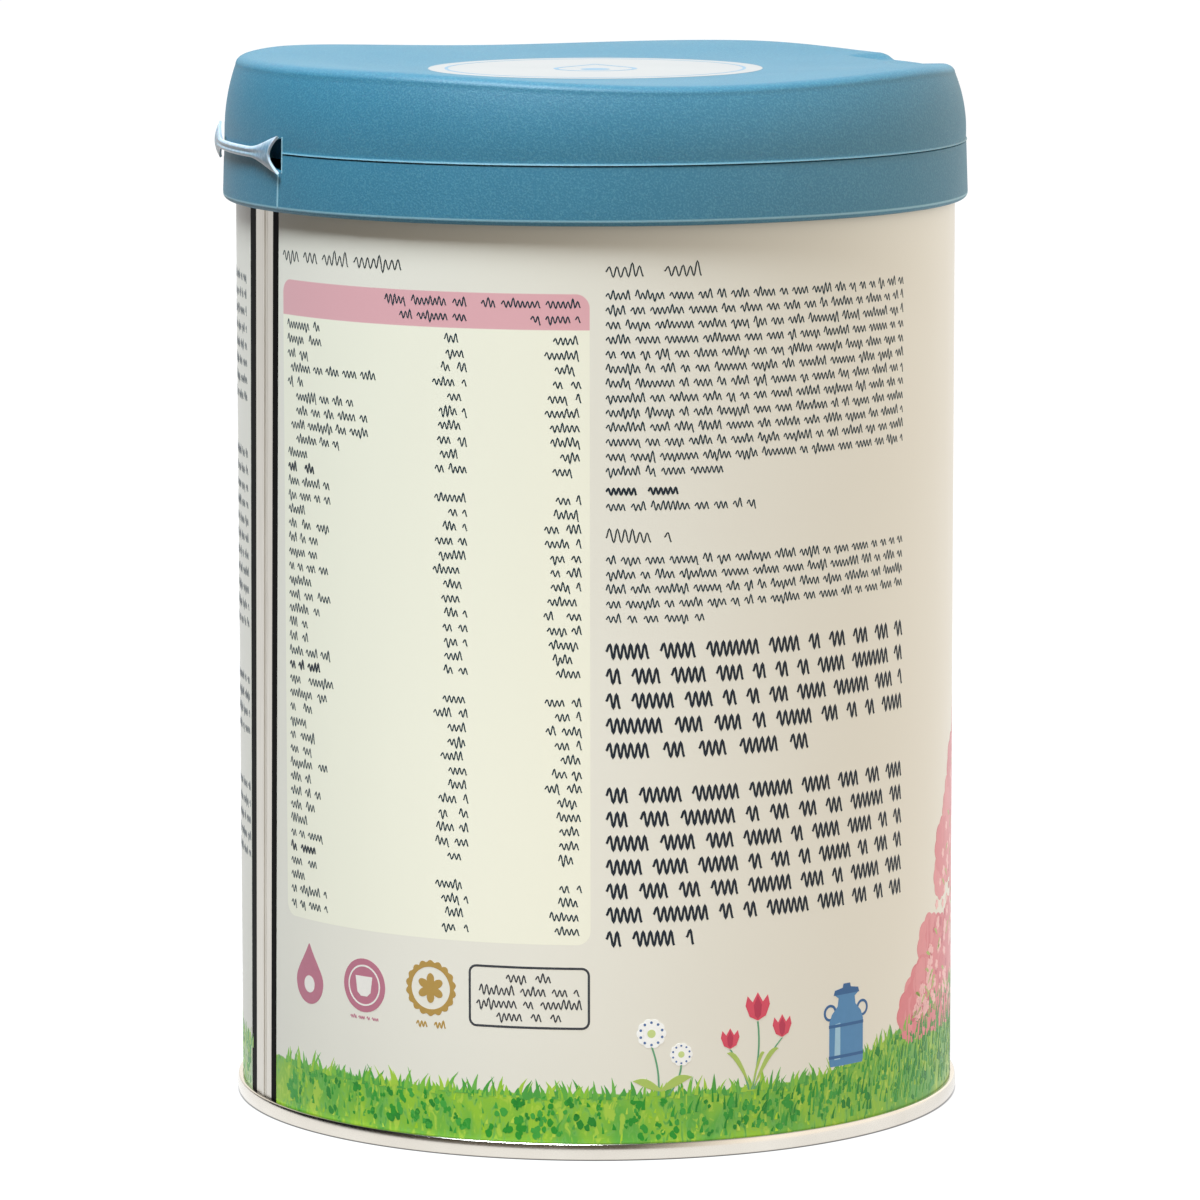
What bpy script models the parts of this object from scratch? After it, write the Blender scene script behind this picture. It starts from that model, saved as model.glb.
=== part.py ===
# Milk powder tin, shut: a printed round tin with a seamed tinplate base and a hinged plastic lid.
# The origin is on the tin's axis at the level it stands on. The hinge is at -X, the thumb ledge at +X.
import math

import bmesh
import bpy

MM = 0.001

# Round pieces: how many flats stand for a full turn, and the turn of the first one
FLATS = 96
HALF_FLAT = math.pi / FLATS

# The small gap kept between pieces that touch
GAP = 0.3 * MM

# Tin wall: a standard 127 mm food can
WALL_RADIUS = 63.5 * MM
WALL_RIM = 0.4 * MM
WALL_TOP = 168.5 * MM

# Base: the double seam stands a little proud of the wall, the panel is set up inside it
SEAM_RADIUS = 64.5 * MM
SEAM_HEIGHT = 2.9 * MM
SEAM_INNER = 62.9 * MM
FOOT_INNER = 63.3 * MM
FOOT_OUTER = 64.0 * MM
PANEL_LEVEL = 3.8 * MM
PANEL_BACK = 5.2 * MM
BEAD_RADIUS = 43.75 * MM
BEAD_WIDTH = 7.5 * MM
BEAD_DEPTH = 0.5 * MM
GROOVE_RADIUS = 61.0 * MM
GROOVE_WIDTH = 3.2 * MM
GROOVE_DEPTH = 0.8 * MM

# Lid collar: a skirt that clips over the tin's mouth and hangs clear of the wall lower down
COLLAR_BOTTOM = 160.0 * MM
COLLAR_TOP = 169.8 * MM
COLLAR_FOOT_RADIUS = 65.75 * MM
COLLAR_TOP_RADIUS = 65.45 * MM
SKIRT_INNER = 64.5 * MM
SKIRT_CLIP = 166.0 * MM
EDGE_BREAK = 0.25 * MM

# Flip lid: straight below, drawn in above as a shallow crown, with a wavy rim round a flat disc
LID_BOTTOM = 170.2 * MM
LID_RADIUS = 65.4 * MM
CROWN_START = 172.0 * MM
CROWN_END = 183.3 * MM
CROWN_INSET = 2.3 * MM
RIM_RADIUS = 61.2 * MM
RIM_NOMINAL = 184.0 * MM
DISC_LEVEL = 182.5 * MM
DISC_RADIUS = 31.0 * MM
PLUG_RADIUS = 63.2 * MM

# Heights of the rim, by degrees from the hinge on either side
RIM_CREST = 185.1 * MM
RIM_CREST_END = 35.0
RIM_DIP = 183.2 * MM
RIM_DIP_AT = 90.0
RIM_SHOULDER = 184.2 * MM
RIM_SHOULDER_AT = 135.0
RIM_FRONT = 183.2 * MM
RIM_FRONT_AT = 165.0

# Thumb ledge sunk in the front of the rim, and the thumb lip under it
LEDGE_DROP = 1.1 * MM
LEDGE_HALF_ANGLE = 12.5
LEDGE_END_ANGLE = 15.9
LEDGE_INNER = 52.5 * MM
LEDGE_SLOPE = 2.5 * MM
LIP_REACH = 1.0 * MM
LIP_HALF_ANGLE = 13.0
LIP_HEIGHT = 3.6 * MM

# Hinge: a thin strap bulging out over the split, narrow in the middle, flared at both ends
SPLIT_LEVEL = (COLLAR_TOP + LID_BOTTOM) / 2
HINGE_HALF_ANGLE = 17.8
HINGE_WAIST_ANGLE = 8.5
WAIST_HALF_HEIGHT = 0.95 * MM
FLARE_HALF_HEIGHT = 3.3 * MM
STRAP_EDGE_RADIUS = 66.4 * MM
WAIST_RADIUS = 66.6 * MM
FLARE_RADIUS = 67.4 * MM
STRAP_THICKNESS = 0.5 * MM
STRAP_END_HOLLOW = 0.9
STRAP_STATIONS = 44
STRAP_ROWS = 8
WINDOW_INNER = 62.4 * MM
WINDOW_OUTER = 68.5 * MM
WINDOW_START_ANGLE = 9.5
WINDOW_START_HALF = 0.6 * MM
WINDOW_END_HALF = 3.0 * MM
WINDOW_STATIONS = 4

TIN_CREAM = (0.80, 0.77, 0.68)
TINPLATE = (0.72, 0.71, 0.69)
LID_BLUE = (0.095, 0.285, 0.40)
STRAP_BLUE = (0.20, 0.42, 0.55)


def clear_objects():
    for item in list(bpy.data.objects):
        bpy.data.objects.remove(item, do_unlink=True)


def finish(name, colour, roughness, metallic):
    """A plain surface with the colour, roughness and metallic value of the real one."""
    surface = bpy.data.materials.new(name)
    surface.use_nodes = True
    shader = surface.node_tree.nodes["Principled BSDF"]
    shader.inputs["Base Color"].default_value = (*colour, 1.0)
    shader.inputs["Roughness"].default_value = roughness
    shader.inputs["Metallic"].default_value = metallic
    return surface


def add_object(name, bm, surface):
    """Puts a closed mesh in the scene as one smooth-shaded object with its own surface."""
    bmesh.ops.recalc_face_normals(bm, faces=bm.faces)
    mesh = bpy.data.meshes.new(name)
    bm.to_mesh(mesh)
    bm.free()
    mesh.shade_smooth()
    mesh.set_sharp_from_angle(angle=math.radians(35))
    if surface is not None:
        mesh.materials.append(surface)
    item = bpy.data.objects.new(name, mesh)
    bpy.context.scene.collection.objects.link(item)
    return item


def arc(centre_r, centre_z, radius, start_deg, end_deg, steps):
    """Points of a profile's rounded corner, from one angle to the other."""
    points = []
    for step in range(steps + 1):
        angle = math.radians(start_deg + (end_deg - start_deg) * step / steps)
        points.append((centre_r + radius * math.cos(angle), centre_z + radius * math.sin(angle)))
    return points


def turned(profile, closed):
    """Spins a profile of radius and height round the Z axis into a closed mesh."""
    bm = bmesh.new()
    start = [
        bm.verts.new((r * math.cos(HALF_FLAT), r * math.sin(HALF_FLAT), z)) for r, z in profile
    ]
    edges = [bm.edges.new(pair) for pair in zip(start, start[1:])]
    if closed:
        edges.append(bm.edges.new((start[-1], start[0])))
    bmesh.ops.spin(
        bm,
        geom=start + edges,
        cent=(0, 0, 0),
        axis=(0, 0, 1),
        angle=2 * math.pi,
        steps=FLATS,
        use_merge=True,
        use_duplicate=False,
    )
    bmesh.ops.remove_doubles(bm, verts=bm.verts, dist=0.001 * MM)
    return bm


def ease(value, start, end):
    """Rises smoothly from 0 at start to 1 at end."""
    t = min(1.0, max(0.0, (value - start) / (end - start)))
    return t * t * (3 - 2 * t)


def from_hinge(x, y):
    """Degrees round the tin from the hinge, 0 to 180 on either side."""
    return abs(math.degrees(math.atan2(y, -x)))


def rim_height(angle):
    """Height of the lid's wavy rim: a crest at the hinge, a dip at each side, a shoulder, a dip."""
    rise = RIM_CREST + (RIM_DIP - RIM_CREST) * ease(angle, RIM_CREST_END, RIM_DIP_AT)
    rise += (RIM_SHOULDER - RIM_DIP) * ease(angle, RIM_DIP_AT, RIM_SHOULDER_AT)
    return rise + (RIM_FRONT - RIM_SHOULDER) * ease(angle, RIM_SHOULDER_AT, RIM_FRONT_AT)


def ledge(radius, angle):
    """How far the thumb ledge sinks the rim at this place."""
    across = 1 - ease(180 - angle, LEDGE_HALF_ANGLE, LEDGE_END_ANGLE)
    return LEDGE_DROP * across * ease(radius, LEDGE_INNER, LEDGE_INNER + LEDGE_SLOPE)


def crown_radius(z):
    """Radius of the lid's side wall, which draws in towards the top."""
    climb = max(0.0, z - CROWN_START) / (CROWN_END - CROWN_START)
    return LID_RADIUS - CROWN_INSET * climb * climb


def make_tin_body():
    bottom = SEAM_HEIGHT + GAP
    inner = WALL_RADIUS - WALL_RIM
    profile = [
        (0, PANEL_BACK + GAP),
        (inner, PANEL_BACK + GAP),
        (inner, bottom),
        (WALL_RADIUS, bottom),
        (WALL_RADIUS, WALL_TOP),
        (0, WALL_TOP),
    ]
    surface = finish("printed_tin", TIN_CREAM, 0.35, 0.0)
    return add_object("tin_body", turned(profile, False), surface)


def make_bottom_end():
    """Tinplate end: flat panel with one bead, a groove at its edge, and the rolled double seam."""
    half_bead, half_groove = BEAD_WIDTH / 2, GROOVE_WIDTH / 2
    slope = 0.3 * half_bead
    profile = [
        (0, PANEL_LEVEL),
        (BEAD_RADIUS - half_bead, PANEL_LEVEL),
        (BEAD_RADIUS - half_bead + slope, PANEL_LEVEL - BEAD_DEPTH),
        (BEAD_RADIUS + half_bead - slope, PANEL_LEVEL - BEAD_DEPTH),
        (BEAD_RADIUS + half_bead, PANEL_LEVEL),
        (GROOVE_RADIUS - half_groove, PANEL_LEVEL),
        (GROOVE_RADIUS - half_groove / 3, PANEL_LEVEL + GROOVE_DEPTH),
        (GROOVE_RADIUS + half_groove / 2, PANEL_LEVEL + GROOVE_DEPTH),
        (GROOVE_RADIUS + half_groove, PANEL_LEVEL),
        (SEAM_INNER, FOOT_INNER - SEAM_INNER),
        (FOOT_INNER, 0),
        (FOOT_OUTER, 0),
    ]
    foot_round = SEAM_RADIUS - FOOT_OUTER
    profile += arc(FOOT_OUTER, foot_round, foot_round, -45, 0, 1)
    profile += arc(FOOT_OUTER, SEAM_HEIGHT - 2 * foot_round, foot_round, 0, 90, 3)
    profile += [
        (WALL_RADIUS + 0.1 * MM, SEAM_HEIGHT),
        (SEAM_INNER - 0.1 * MM, SEAM_HEIGHT),
        (SEAM_INNER - 0.1 * MM, PANEL_BACK),
        (0, PANEL_BACK),
    ]
    surface = finish("bare_tinplate", TINPLATE, 0.25, 1.0)
    return add_object("bottom_end", turned(profile, False), surface)


def make_lid_collar(windows, surface):
    foot_inner = SKIRT_INNER + EDGE_BREAK
    profile = [
        (WALL_RADIUS + GAP, COLLAR_TOP),
        (WALL_RADIUS + GAP, SKIRT_CLIP),
        (SKIRT_INNER, SKIRT_CLIP - (SKIRT_INNER - WALL_RADIUS - GAP)),
        (SKIRT_INNER, COLLAR_BOTTOM + EDGE_BREAK),
        (foot_inner, COLLAR_BOTTOM),
    ]
    foot_round = COLLAR_FOOT_RADIUS - foot_inner
    profile += arc(foot_inner, COLLAR_BOTTOM + foot_round, foot_round, -90, 0, 3)[1:]
    profile += [
        (COLLAR_TOP_RADIUS, COLLAR_TOP - EDGE_BREAK),
        (COLLAR_TOP_RADIUS - EDGE_BREAK, COLLAR_TOP),
    ]
    collar = add_object("lid_collar", turned(profile, True), surface)
    cut(collar, windows)
    return collar


def lid_profile():
    """Half section of the flip lid at its nominal rim height, from the plug's underside to the disc."""
    profile = [
        (0, LID_BOTTOM - 1.4 * MM),
        (PLUG_RADIUS, LID_BOTTOM - 1.4 * MM),
        (PLUG_RADIUS, LID_BOTTOM),
        (LID_RADIUS - EDGE_BREAK, LID_BOTTOM),
        (LID_RADIUS, LID_BOTTOM + EDGE_BREAK),
    ]
    levels = (LID_BOTTOM + LIP_HEIGHT, 175.5 * MM, 178.0 * MM, 180.0 * MM, 181.5 * MM, 182.5 * MM)
    profile += [(crown_radius(z), z) for z in levels]
    shoulder_r, shoulder_z = profile[-1]
    for share in (1 / 3, 2 / 3, 1):
        turn = share * math.pi / 2
        r = RIM_RADIUS + (shoulder_r - RIM_RADIUS) * math.cos(turn)
        z = shoulder_z + (RIM_NOMINAL - shoulder_z) * math.sin(turn)
        profile.append((r, z))
    top_rings = (58.5, 55.2, 52.5, 47.0, 41.0, 36.0, 31.0)
    profile += [(r * MM, DISC_LEVEL) for r in top_rings]
    return profile + [(0, DISC_LEVEL)]


def shape_lid(bm):
    """Gives the plain turned lid its wavy rim, thumb ledge and thumb lip."""
    for vert in bm.verts:
        x, y, z = vert.co
        radius, angle = math.hypot(x, y), from_hinge(x, y)
        if z < LID_BOTTOM + EDGE_BREAK / 2 and radius < LID_RADIUS - 2 * EDGE_BREAK:
            continue
        if z < CROWN_START + 2 * MM:
            near_front = 1 - ease(180 - angle, LIP_HALF_ANGLE / 2, LIP_HALF_ANGLE)
            reach = LIP_REACH * near_front * (1 - ease(z, LID_BOTTOM + LIP_HEIGHT / 3, LID_BOTTOM + LIP_HEIGHT))
            vert.co.x += reach * x / radius
            vert.co.y += reach * y / radius
            continue
        rim = rim_height(angle) - ledge(radius, angle)
        if radius > RIM_RADIUS - EDGE_BREAK:
            vert.co.z = CROWN_START + (z - CROWN_START) * (rim - CROWN_START) / (RIM_NOMINAL - CROWN_START)
        else:
            climb = ease(radius, DISC_RADIUS, RIM_RADIUS)
            vert.co.z = DISC_LEVEL + (rim_height(angle) - DISC_LEVEL) * climb - ledge(radius, angle)


def make_flip_lid(windows, surface):
    bm = turned(lid_profile(), False)
    shape_lid(bm)
    lid = add_object("flip_lid", bm, surface)
    cut(lid, windows)
    return lid


def on_lid(radius, angle_deg, z):
    """A point at an angle from the hinge, which lies at -X."""
    angle = math.radians(180 + angle_deg)
    return (radius * math.cos(angle), radius * math.sin(angle), z)


def make_hinge_windows():
    """Guide solid for the two openings in the wall behind the strap's flared ends."""
    bm = bmesh.new()
    for side in (-1, 1):
        sections = []
        for station in range(WINDOW_STATIONS + 1):
            share = station / WINDOW_STATIONS
            angle = side * (WINDOW_START_ANGLE + (HINGE_HALF_ANGLE - WINDOW_START_ANGLE) * share)
            half = WINDOW_START_HALF + (WINDOW_END_HALF - WINDOW_START_HALF) * share
            corners = [
                (WINDOW_INNER, SPLIT_LEVEL - half),
                (WINDOW_OUTER, SPLIT_LEVEL - half),
                (WINDOW_OUTER, SPLIT_LEVEL + half),
                (WINDOW_INNER, SPLIT_LEVEL + half),
            ]
            sections.append([bm.verts.new(on_lid(r, angle, z)) for r, z in corners])
        for first, second in zip(sections, sections[1:]):
            for corner in range(4):
                after = (corner + 1) % 4
                bm.faces.new((first[corner], first[after], second[after], second[corner]))
        bm.faces.new(sections[0])
        bm.faces.new(reversed(sections[-1]))
    guide = add_object("hinge_window_guide", bm, None)
    guide.hide_render = True
    guide.display_type = "WIRE"
    return guide


def cut(item, guide):
    opening = item.modifiers.new("hinge_windows", "BOOLEAN")
    opening.operation = "DIFFERENCE"
    opening.solver = "EXACT"
    opening.object = guide


def make_hinge_strap(surface):
    """Bow-tie strap: each cross-section bows outwards, more and taller towards the flared ends."""
    bm = bmesh.new()
    outer, inner = [], []
    for station in range(STRAP_STATIONS + 1):
        along = 2 * station / STRAP_STATIONS - 1
        outer.append([])
        inner.append([])
        for row in range(STRAP_ROWS + 1):
            across = 2 * row / STRAP_ROWS - 1
            bow = 1 - across * across
            angle = along * (HINGE_HALF_ANGLE - STRAP_END_HOLLOW * bow)
            flare = ease(abs(angle), HINGE_WAIST_ANGLE, HINGE_HALF_ANGLE + HINGE_WAIST_ANGLE / 2)
            flare /= ease(HINGE_HALF_ANGLE, HINGE_WAIST_ANGLE, HINGE_HALF_ANGLE + HINGE_WAIST_ANGLE / 2)
            half = WAIST_HALF_HEIGHT + (FLARE_HALF_HEIGHT - WAIST_HALF_HEIGHT) * flare
            middle = WAIST_RADIUS + (FLARE_RADIUS - WAIST_RADIUS) * flare
            radius = STRAP_EDGE_RADIUS + (middle - STRAP_EDGE_RADIUS) * bow
            z = SPLIT_LEVEL + half * across
            outer[-1].append(bm.verts.new(on_lid(radius, angle, z)))
            inner[-1].append(bm.verts.new(on_lid(radius - STRAP_THICKNESS, angle, z)))
    for sheet in (outer, inner):
        for first, second in zip(sheet, sheet[1:]):
            for row in range(STRAP_ROWS):
                bm.faces.new((first[row], first[row + 1], second[row + 1], second[row]))
    border = [(station, 0) for station in range(STRAP_STATIONS)]
    border += [(STRAP_STATIONS, row) for row in range(STRAP_ROWS)]
    border += [(station, STRAP_ROWS) for station in range(STRAP_STATIONS, 0, -1)]
    border += [(0, row) for row in range(STRAP_ROWS, 0, -1)]
    for (s, r), (s2, r2) in zip(border, border[1:] + border[:1]):
        bm.faces.new((outer[s][r], inner[s][r], inner[s2][r2], outer[s2][r2]))
    return add_object("hinge_strap", bm, surface)


clear_objects()
make_tin_body()
make_bottom_end()
hinge_windows = make_hinge_windows()
make_lid_collar(hinge_windows, finish("lid_plastic_collar", LID_BLUE, 0.5, 0.0))
make_flip_lid(hinge_windows, finish("lid_plastic_flip", LID_BLUE, 0.5, 0.0))
make_hinge_strap(finish("lid_plastic_strap", STRAP_BLUE, 0.4, 0.0))
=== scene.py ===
import math
import random

import bmesh
import bpy
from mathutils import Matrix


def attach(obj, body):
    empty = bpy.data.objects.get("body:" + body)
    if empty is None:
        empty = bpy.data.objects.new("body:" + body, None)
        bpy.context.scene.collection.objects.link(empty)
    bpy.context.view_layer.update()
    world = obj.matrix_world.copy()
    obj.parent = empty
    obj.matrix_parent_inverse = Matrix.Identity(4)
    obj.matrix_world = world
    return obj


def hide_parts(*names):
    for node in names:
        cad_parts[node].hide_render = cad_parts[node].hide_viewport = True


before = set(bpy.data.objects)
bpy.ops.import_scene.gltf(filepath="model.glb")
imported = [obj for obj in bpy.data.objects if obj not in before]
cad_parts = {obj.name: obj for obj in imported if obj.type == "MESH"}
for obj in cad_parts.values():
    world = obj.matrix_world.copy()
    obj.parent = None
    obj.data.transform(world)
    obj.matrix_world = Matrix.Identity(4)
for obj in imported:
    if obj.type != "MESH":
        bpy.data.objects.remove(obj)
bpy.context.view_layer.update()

# Studio: a white floor that fills the view, a pale room and soft lights over and beside the tin.
# The camera looks from 1.2 m away and 8 degrees up, at the side of the tin just in front of its hinge.
MM = 0.001
VIEW_ANGLE = -107.0
CAMERA_DISTANCE = 1216.2 * MM
CAMERA_HEIGHT = 258.3 * MM
CAMERA_TILT = 7.983
CAMERA_YAW = 0.043
CAMERA_ROLL = 0.067
SENSOR_WIDTH = 36.0
FOCAL_LENGTH = 206.6

camera_data = bpy.data.cameras.new("camera")
camera_data.sensor_width = SENSOR_WIDTH
camera_data.lens = FOCAL_LENGTH
camera = bpy.data.objects.new("camera", camera_data)
bpy.context.scene.collection.objects.link(camera)
camera.location = (
    CAMERA_DISTANCE * math.cos(math.radians(VIEW_ANGLE)),
    CAMERA_DISTANCE * math.sin(math.radians(VIEW_ANGLE)),
    CAMERA_HEIGHT,
)
camera.rotation_euler = (
    math.radians(90 - CAMERA_TILT),
    math.radians(CAMERA_ROLL),
    math.radians(VIEW_ANGLE + 90 - CAMERA_YAW),
)
bpy.context.scene.camera = camera
bpy.context.scene.view_settings.view_transform = "Standard"


def linear(hex_colour):
    """An sRGB hex colour as the linear colour that Blender's sockets take."""
    channels = [int(hex_colour[i:i + 2], 16) / 255 for i in (1, 3, 5)]
    return [c / 12.92 if c <= 0.04045 else ((c + 0.055) / 1.055) ** 2.4 for c in channels] + [1.0]


def add(tree, kind, inputs=None, **settings):
    """Adds a node. An input takes a value, a node for its first output, or a node and an output's name."""
    node = tree.nodes.new("ShaderNode" + kind)
    for key, value in settings.items():
        setattr(node, key, value)
    for key, value in (inputs or {}).items():
        if isinstance(value, bpy.types.Node):
            value = (value, 0)
        if isinstance(value, tuple) and isinstance(value[0], bpy.types.Node):
            tree.links.new(value[0].outputs[value[1]], node.inputs[key])
        else:
            node.inputs[key].default_value = value
    return node


def over(tree, below, above, mask):
    """One colour over another as far as the mask says, each a hex colour or a node's output."""
    below, above = (linear(ink) if isinstance(ink, str) else ink for ink in (below, above))
    return add(tree, "Mix", {0: mask, 6: below, 7: above}, data_type="RGBA"), 2


def surface(name):
    """A new material with its emptied node tree and the output that says where on the tin a point is."""
    material = bpy.data.materials.new(name)
    material.use_nodes = True
    tree = material.node_tree
    tree.nodes.clear()
    return material, tree, (add(tree, "TexCoord"), "Object")


CAMERA_SIDE = (math.cos(math.radians(VIEW_ANGLE)), math.sin(math.radians(VIEW_ANGLE)), 0)
RIGHT_SIDE = (-CAMERA_SIDE[1], CAMERA_SIDE[0], 0)
LIGHT_AIM = 90 * MM

# Each box: its angle from the camera's side, distance, height, width and length, watts and colour
SOFT_BOXES = {
    "overhead_left_box": (-55, 0.62, 1.35, (0.45, 0.45), 16.0, "#EAF7FF"),
    "overhead_front_box": (-28, 0.62, 1.45, (0.45, 0.45), 24.8, "#F0F8FF"),
    "low_front_card": (-22, 0.20, 0.02, (0.36, 0.06), 0.10, "#FFFBF6"),
}
for name, (angle, distance, height, size, power, colour) in SOFT_BOXES.items():
    data = bpy.data.lights.new(name, "AREA")
    data.shape = "RECTANGLE"
    data.size, data.size_y = size
    data.energy = power
    data.color = linear(colour)[:3]
    box = bpy.data.objects.new(name, data)
    bpy.context.scene.collection.objects.link(box)
    turn = math.radians(VIEW_ANGLE + angle)
    box.location = (distance * math.cos(turn), distance * math.sin(turn), height)
    box.rotation_euler = (math.atan2(distance, height - LIGHT_AIM), 0, turn + math.pi / 2)
    box.visible_glossy = name != "low_front_card"

# The room: soft patches of light, each with its direction, where it starts and is full, its colour and
# its strength
ROOM_PARTS = {
    "back_wall": ((-0.9 * CAMERA_SIDE[0], -0.9 * CAMERA_SIDE[1], 0.436), 0.60, 1.0, "#FFFAF2", 1.25),
    "right_wall": (RIGHT_SIDE, 0.1, 0.9, "#FFF8EE", 1.35),
    "front_wall": (CAMERA_SIDE, 0.1, 0.9, "#FFEED0", 0.12),
}
room = bpy.data.worlds.new("pale_room")
room.use_nodes = True
bpy.context.scene.world = room
tree = room.node_tree
tree.nodes.clear()
way = add(tree, "TexCoord")
light_sum = None
for axis, start, end, colour, strength in ROOM_PARTS.values():
    facing = add(tree, "VectorMath", {0: (way, "Generated"), 1: axis}, operation="DOT_PRODUCT")
    span = {"From Min": start, "From Max": end, "To Max": strength}
    patch = add(tree, "MapRange", {"Value": (facing, "Value"), **span}, interpolation_type="SMOOTHSTEP")
    part = add(tree, "Background", {"Strength": patch, "Color": linear(colour)})
    light_sum = add(tree, "AddShader", {0: light_sum, 1: part}) if light_sum else part
add(tree, "OutputWorld", {"Surface": light_sum})

# The floor shows white to the camera and to reflections and lights nothing by itself. Right under the seam
# its glow is painted dark, a painted contact shadow where no light gets in
CONTACT_DARK, CONTACT_CLEAR = 64.15 * MM, 64.6 * MM
FLOOR_DARK, FLOOR_WHITE = 0.12, 0.99
bpy.ops.object.select_all(action="DESELECT")
bpy.ops.mesh.primitive_circle_add(vertices=64, radius=14, fill_type="NGON", location=(0, 0, -0.02 * MM))
floor = bpy.context.object
floor.name = "floor"
floor.visible_diffuse = False
floor_paint, tree, here = surface("white_floor_paint")
paint = add(tree, "BsdfDiffuse", {"Color": linear("#505050")})
flat_place = add(tree, "VectorMath", {0: here, 1: (1, 1, 0)}, operation="MULTIPLY")
from_axis = add(tree, "VectorMath", {0: flat_place}, operation="LENGTH")
contact = {"From Min": CONTACT_DARK, "From Max": CONTACT_CLEAR, "To Min": FLOOR_DARK, "To Max": FLOOR_WHITE}
# Painted contact shadow: the glow fades from white to dark towards the seam's foot
painted_contact_shadow = add(tree, "MapRange", {"Value": (from_axis, "Value"), **contact})
glow = add(tree, "Emission", {"Strength": painted_contact_shadow, "Color": linear("#FFFFFF")})
lit = add(tree, "AddShader", {0: paint, 1: glow})
add(tree, "OutputMaterial", {"Surface": lit})
floor.data.materials.append(floor_paint)

# Base end: a disc of bright tinplate, pressed with a stiffening bead and with a groove at its edge.
# Its rim is rolled together with the wall's flange into a double seam, the ring the tin stands on.
TURNS = 360
WALL_RADIUS = 63.5 * MM
SEAM_RADIUS = 64.5 * MM
SEAM_HEIGHT = 2.9 * MM
SEAM_INNER = 62.9 * MM
FOOT_INNER = 63.3 * MM
FOOT_OUTER = 64.0 * MM
SEAM_BARREL = 0.12 * MM
SEAM_ROUND = SEAM_RADIUS - FOOT_OUTER - SEAM_BARREL
PANEL_LEVEL = 3.8 * MM
PANEL_BACK = 5.2 * MM
BEAD_RADIUS, BEAD_WIDTH, BEAD_DEPTH = 43.75 * MM, 7.5 * MM, 0.5 * MM
GROOVE_RADIUS, GROOVE_WIDTH, GROOVE_DEPTH = 61.0 * MM, 3.2 * MM, 0.8 * MM
PANEL_RINGS = 20 * MM, 52.5 * MM
CREVICE = 0.3 * MM
SEAM_GAP = 0.08 * MM
CREVICE_INNER = SEAM_INNER - 0.1 * MM


def arc(centre_r, centre_z, radius, start_deg, end_deg, steps):
    """A profile's rounded corner."""
    points = []
    for step in range(steps + 1):
        angle = math.radians(start_deg + (end_deg - start_deg) * step / steps)
        points.append((centre_r + radius * math.cos(angle), centre_z + radius * math.sin(angle)))
    return points


def ease(value, start, end):
    """Rises smoothly from 0 at start to 1 at end."""
    t = min(1.0, max(0.0, (value - start) / (end - start)))
    return t * t * (3 - 2 * t)


def turned(name, profile, closed=False):
    """Extrudes a profile point by point from one vertex, and spins it round the tin's axis."""
    bpy.ops.object.select_all(action="DESELECT")
    bpy.ops.mesh.primitive_plane_add(size=MM, location=(profile[0][0], 0, profile[0][1]))
    item = bpy.context.object
    item.name = item.data.name = name
    bpy.ops.object.transform_apply(location=True, rotation=True, scale=True)
    bpy.ops.object.mode_set(mode="EDIT")
    bpy.ops.mesh.select_mode(type="VERT")
    bpy.ops.mesh.select_all(action="SELECT")
    bpy.ops.mesh.merge(type="CENTER")
    for (r, z), (next_r, next_z) in zip(profile, profile[1:]):
        bpy.ops.mesh.extrude_vertices_move(TRANSFORM_OT_translate={"value": (next_r - r, 0, next_z - z)})
    if closed:
        bm = bmesh.from_edit_mesh(item.data)
        bm.edges.new([vert for vert in bm.verts if len(vert.link_edges) == 1])
        bmesh.update_edit_mesh(item.data)
    bpy.ops.mesh.select_all(action="SELECT")
    bpy.ops.mesh.spin(steps=TURNS, angle=2 * math.pi, center=(0, 0, 0), axis=(0, 0, 1))
    bpy.ops.mesh.select_all(action="SELECT")
    bpy.ops.mesh.remove_doubles(threshold=0.0005 * MM)
    bpy.ops.mesh.normals_make_consistent(inside=False)
    bpy.ops.object.mode_set(mode="OBJECT")
    return item


def take(item):
    """Selects one piece alone."""
    bpy.ops.object.select_all(action="DESELECT")
    bpy.context.view_layer.objects.active = item
    item.select_set(True)


def finish(item, material, sharp=32):
    """Smooths a finished piece, gives it its material, and lets it ride with the tin."""
    take(item)
    bpy.ops.object.shade_smooth_by_angle(angle=math.radians(sharp))
    item.data.materials.clear()
    item.data.materials.append(material)
    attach(item, "root")


# Tinplate: cold-rolled steel with a bright tin coat, so a nearly clean mirror drawn out by fine rolling
# lines, with faint dull patches where it was handled.
ROLLING_LINE = 0.35 * MM
DULL_PATCH = 14.29 * MM
tinplate, tree, here = surface("bright_tinplate")
drawn_out = add(tree, "Mapping", {"Vector": here, "Scale": (0.02, 0.02, 1.0)})
lines = add(tree, "TexNoise", {"Vector": drawn_out, "Scale": 1 / ROLLING_LINE, "Detail": 3.0})
patches = add(tree, "TexNoise", {"Vector": here, "Scale": 1 / DULL_PATCH, "Detail": 4.0})
dullness = add(tree, "MapRange", {"Value": (patches, "Fac"), "To Min": 0.12, "To Max": 0.24})
tone = over(tree, "#D0C9BE", "#E6E1D8", (patches, "Fac"))
relief = add(tree, "Bump", {"Height": (lines, "Fac"), "Strength": 0.12, "Distance": 0.02 * MM})
metal = {"Base Color": tone, "Roughness": dullness, "Normal": relief, "Metallic": 1.0}
add(tree, "OutputMaterial", {"Surface": add(tree, "BsdfPrincipled", metal)})

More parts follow.
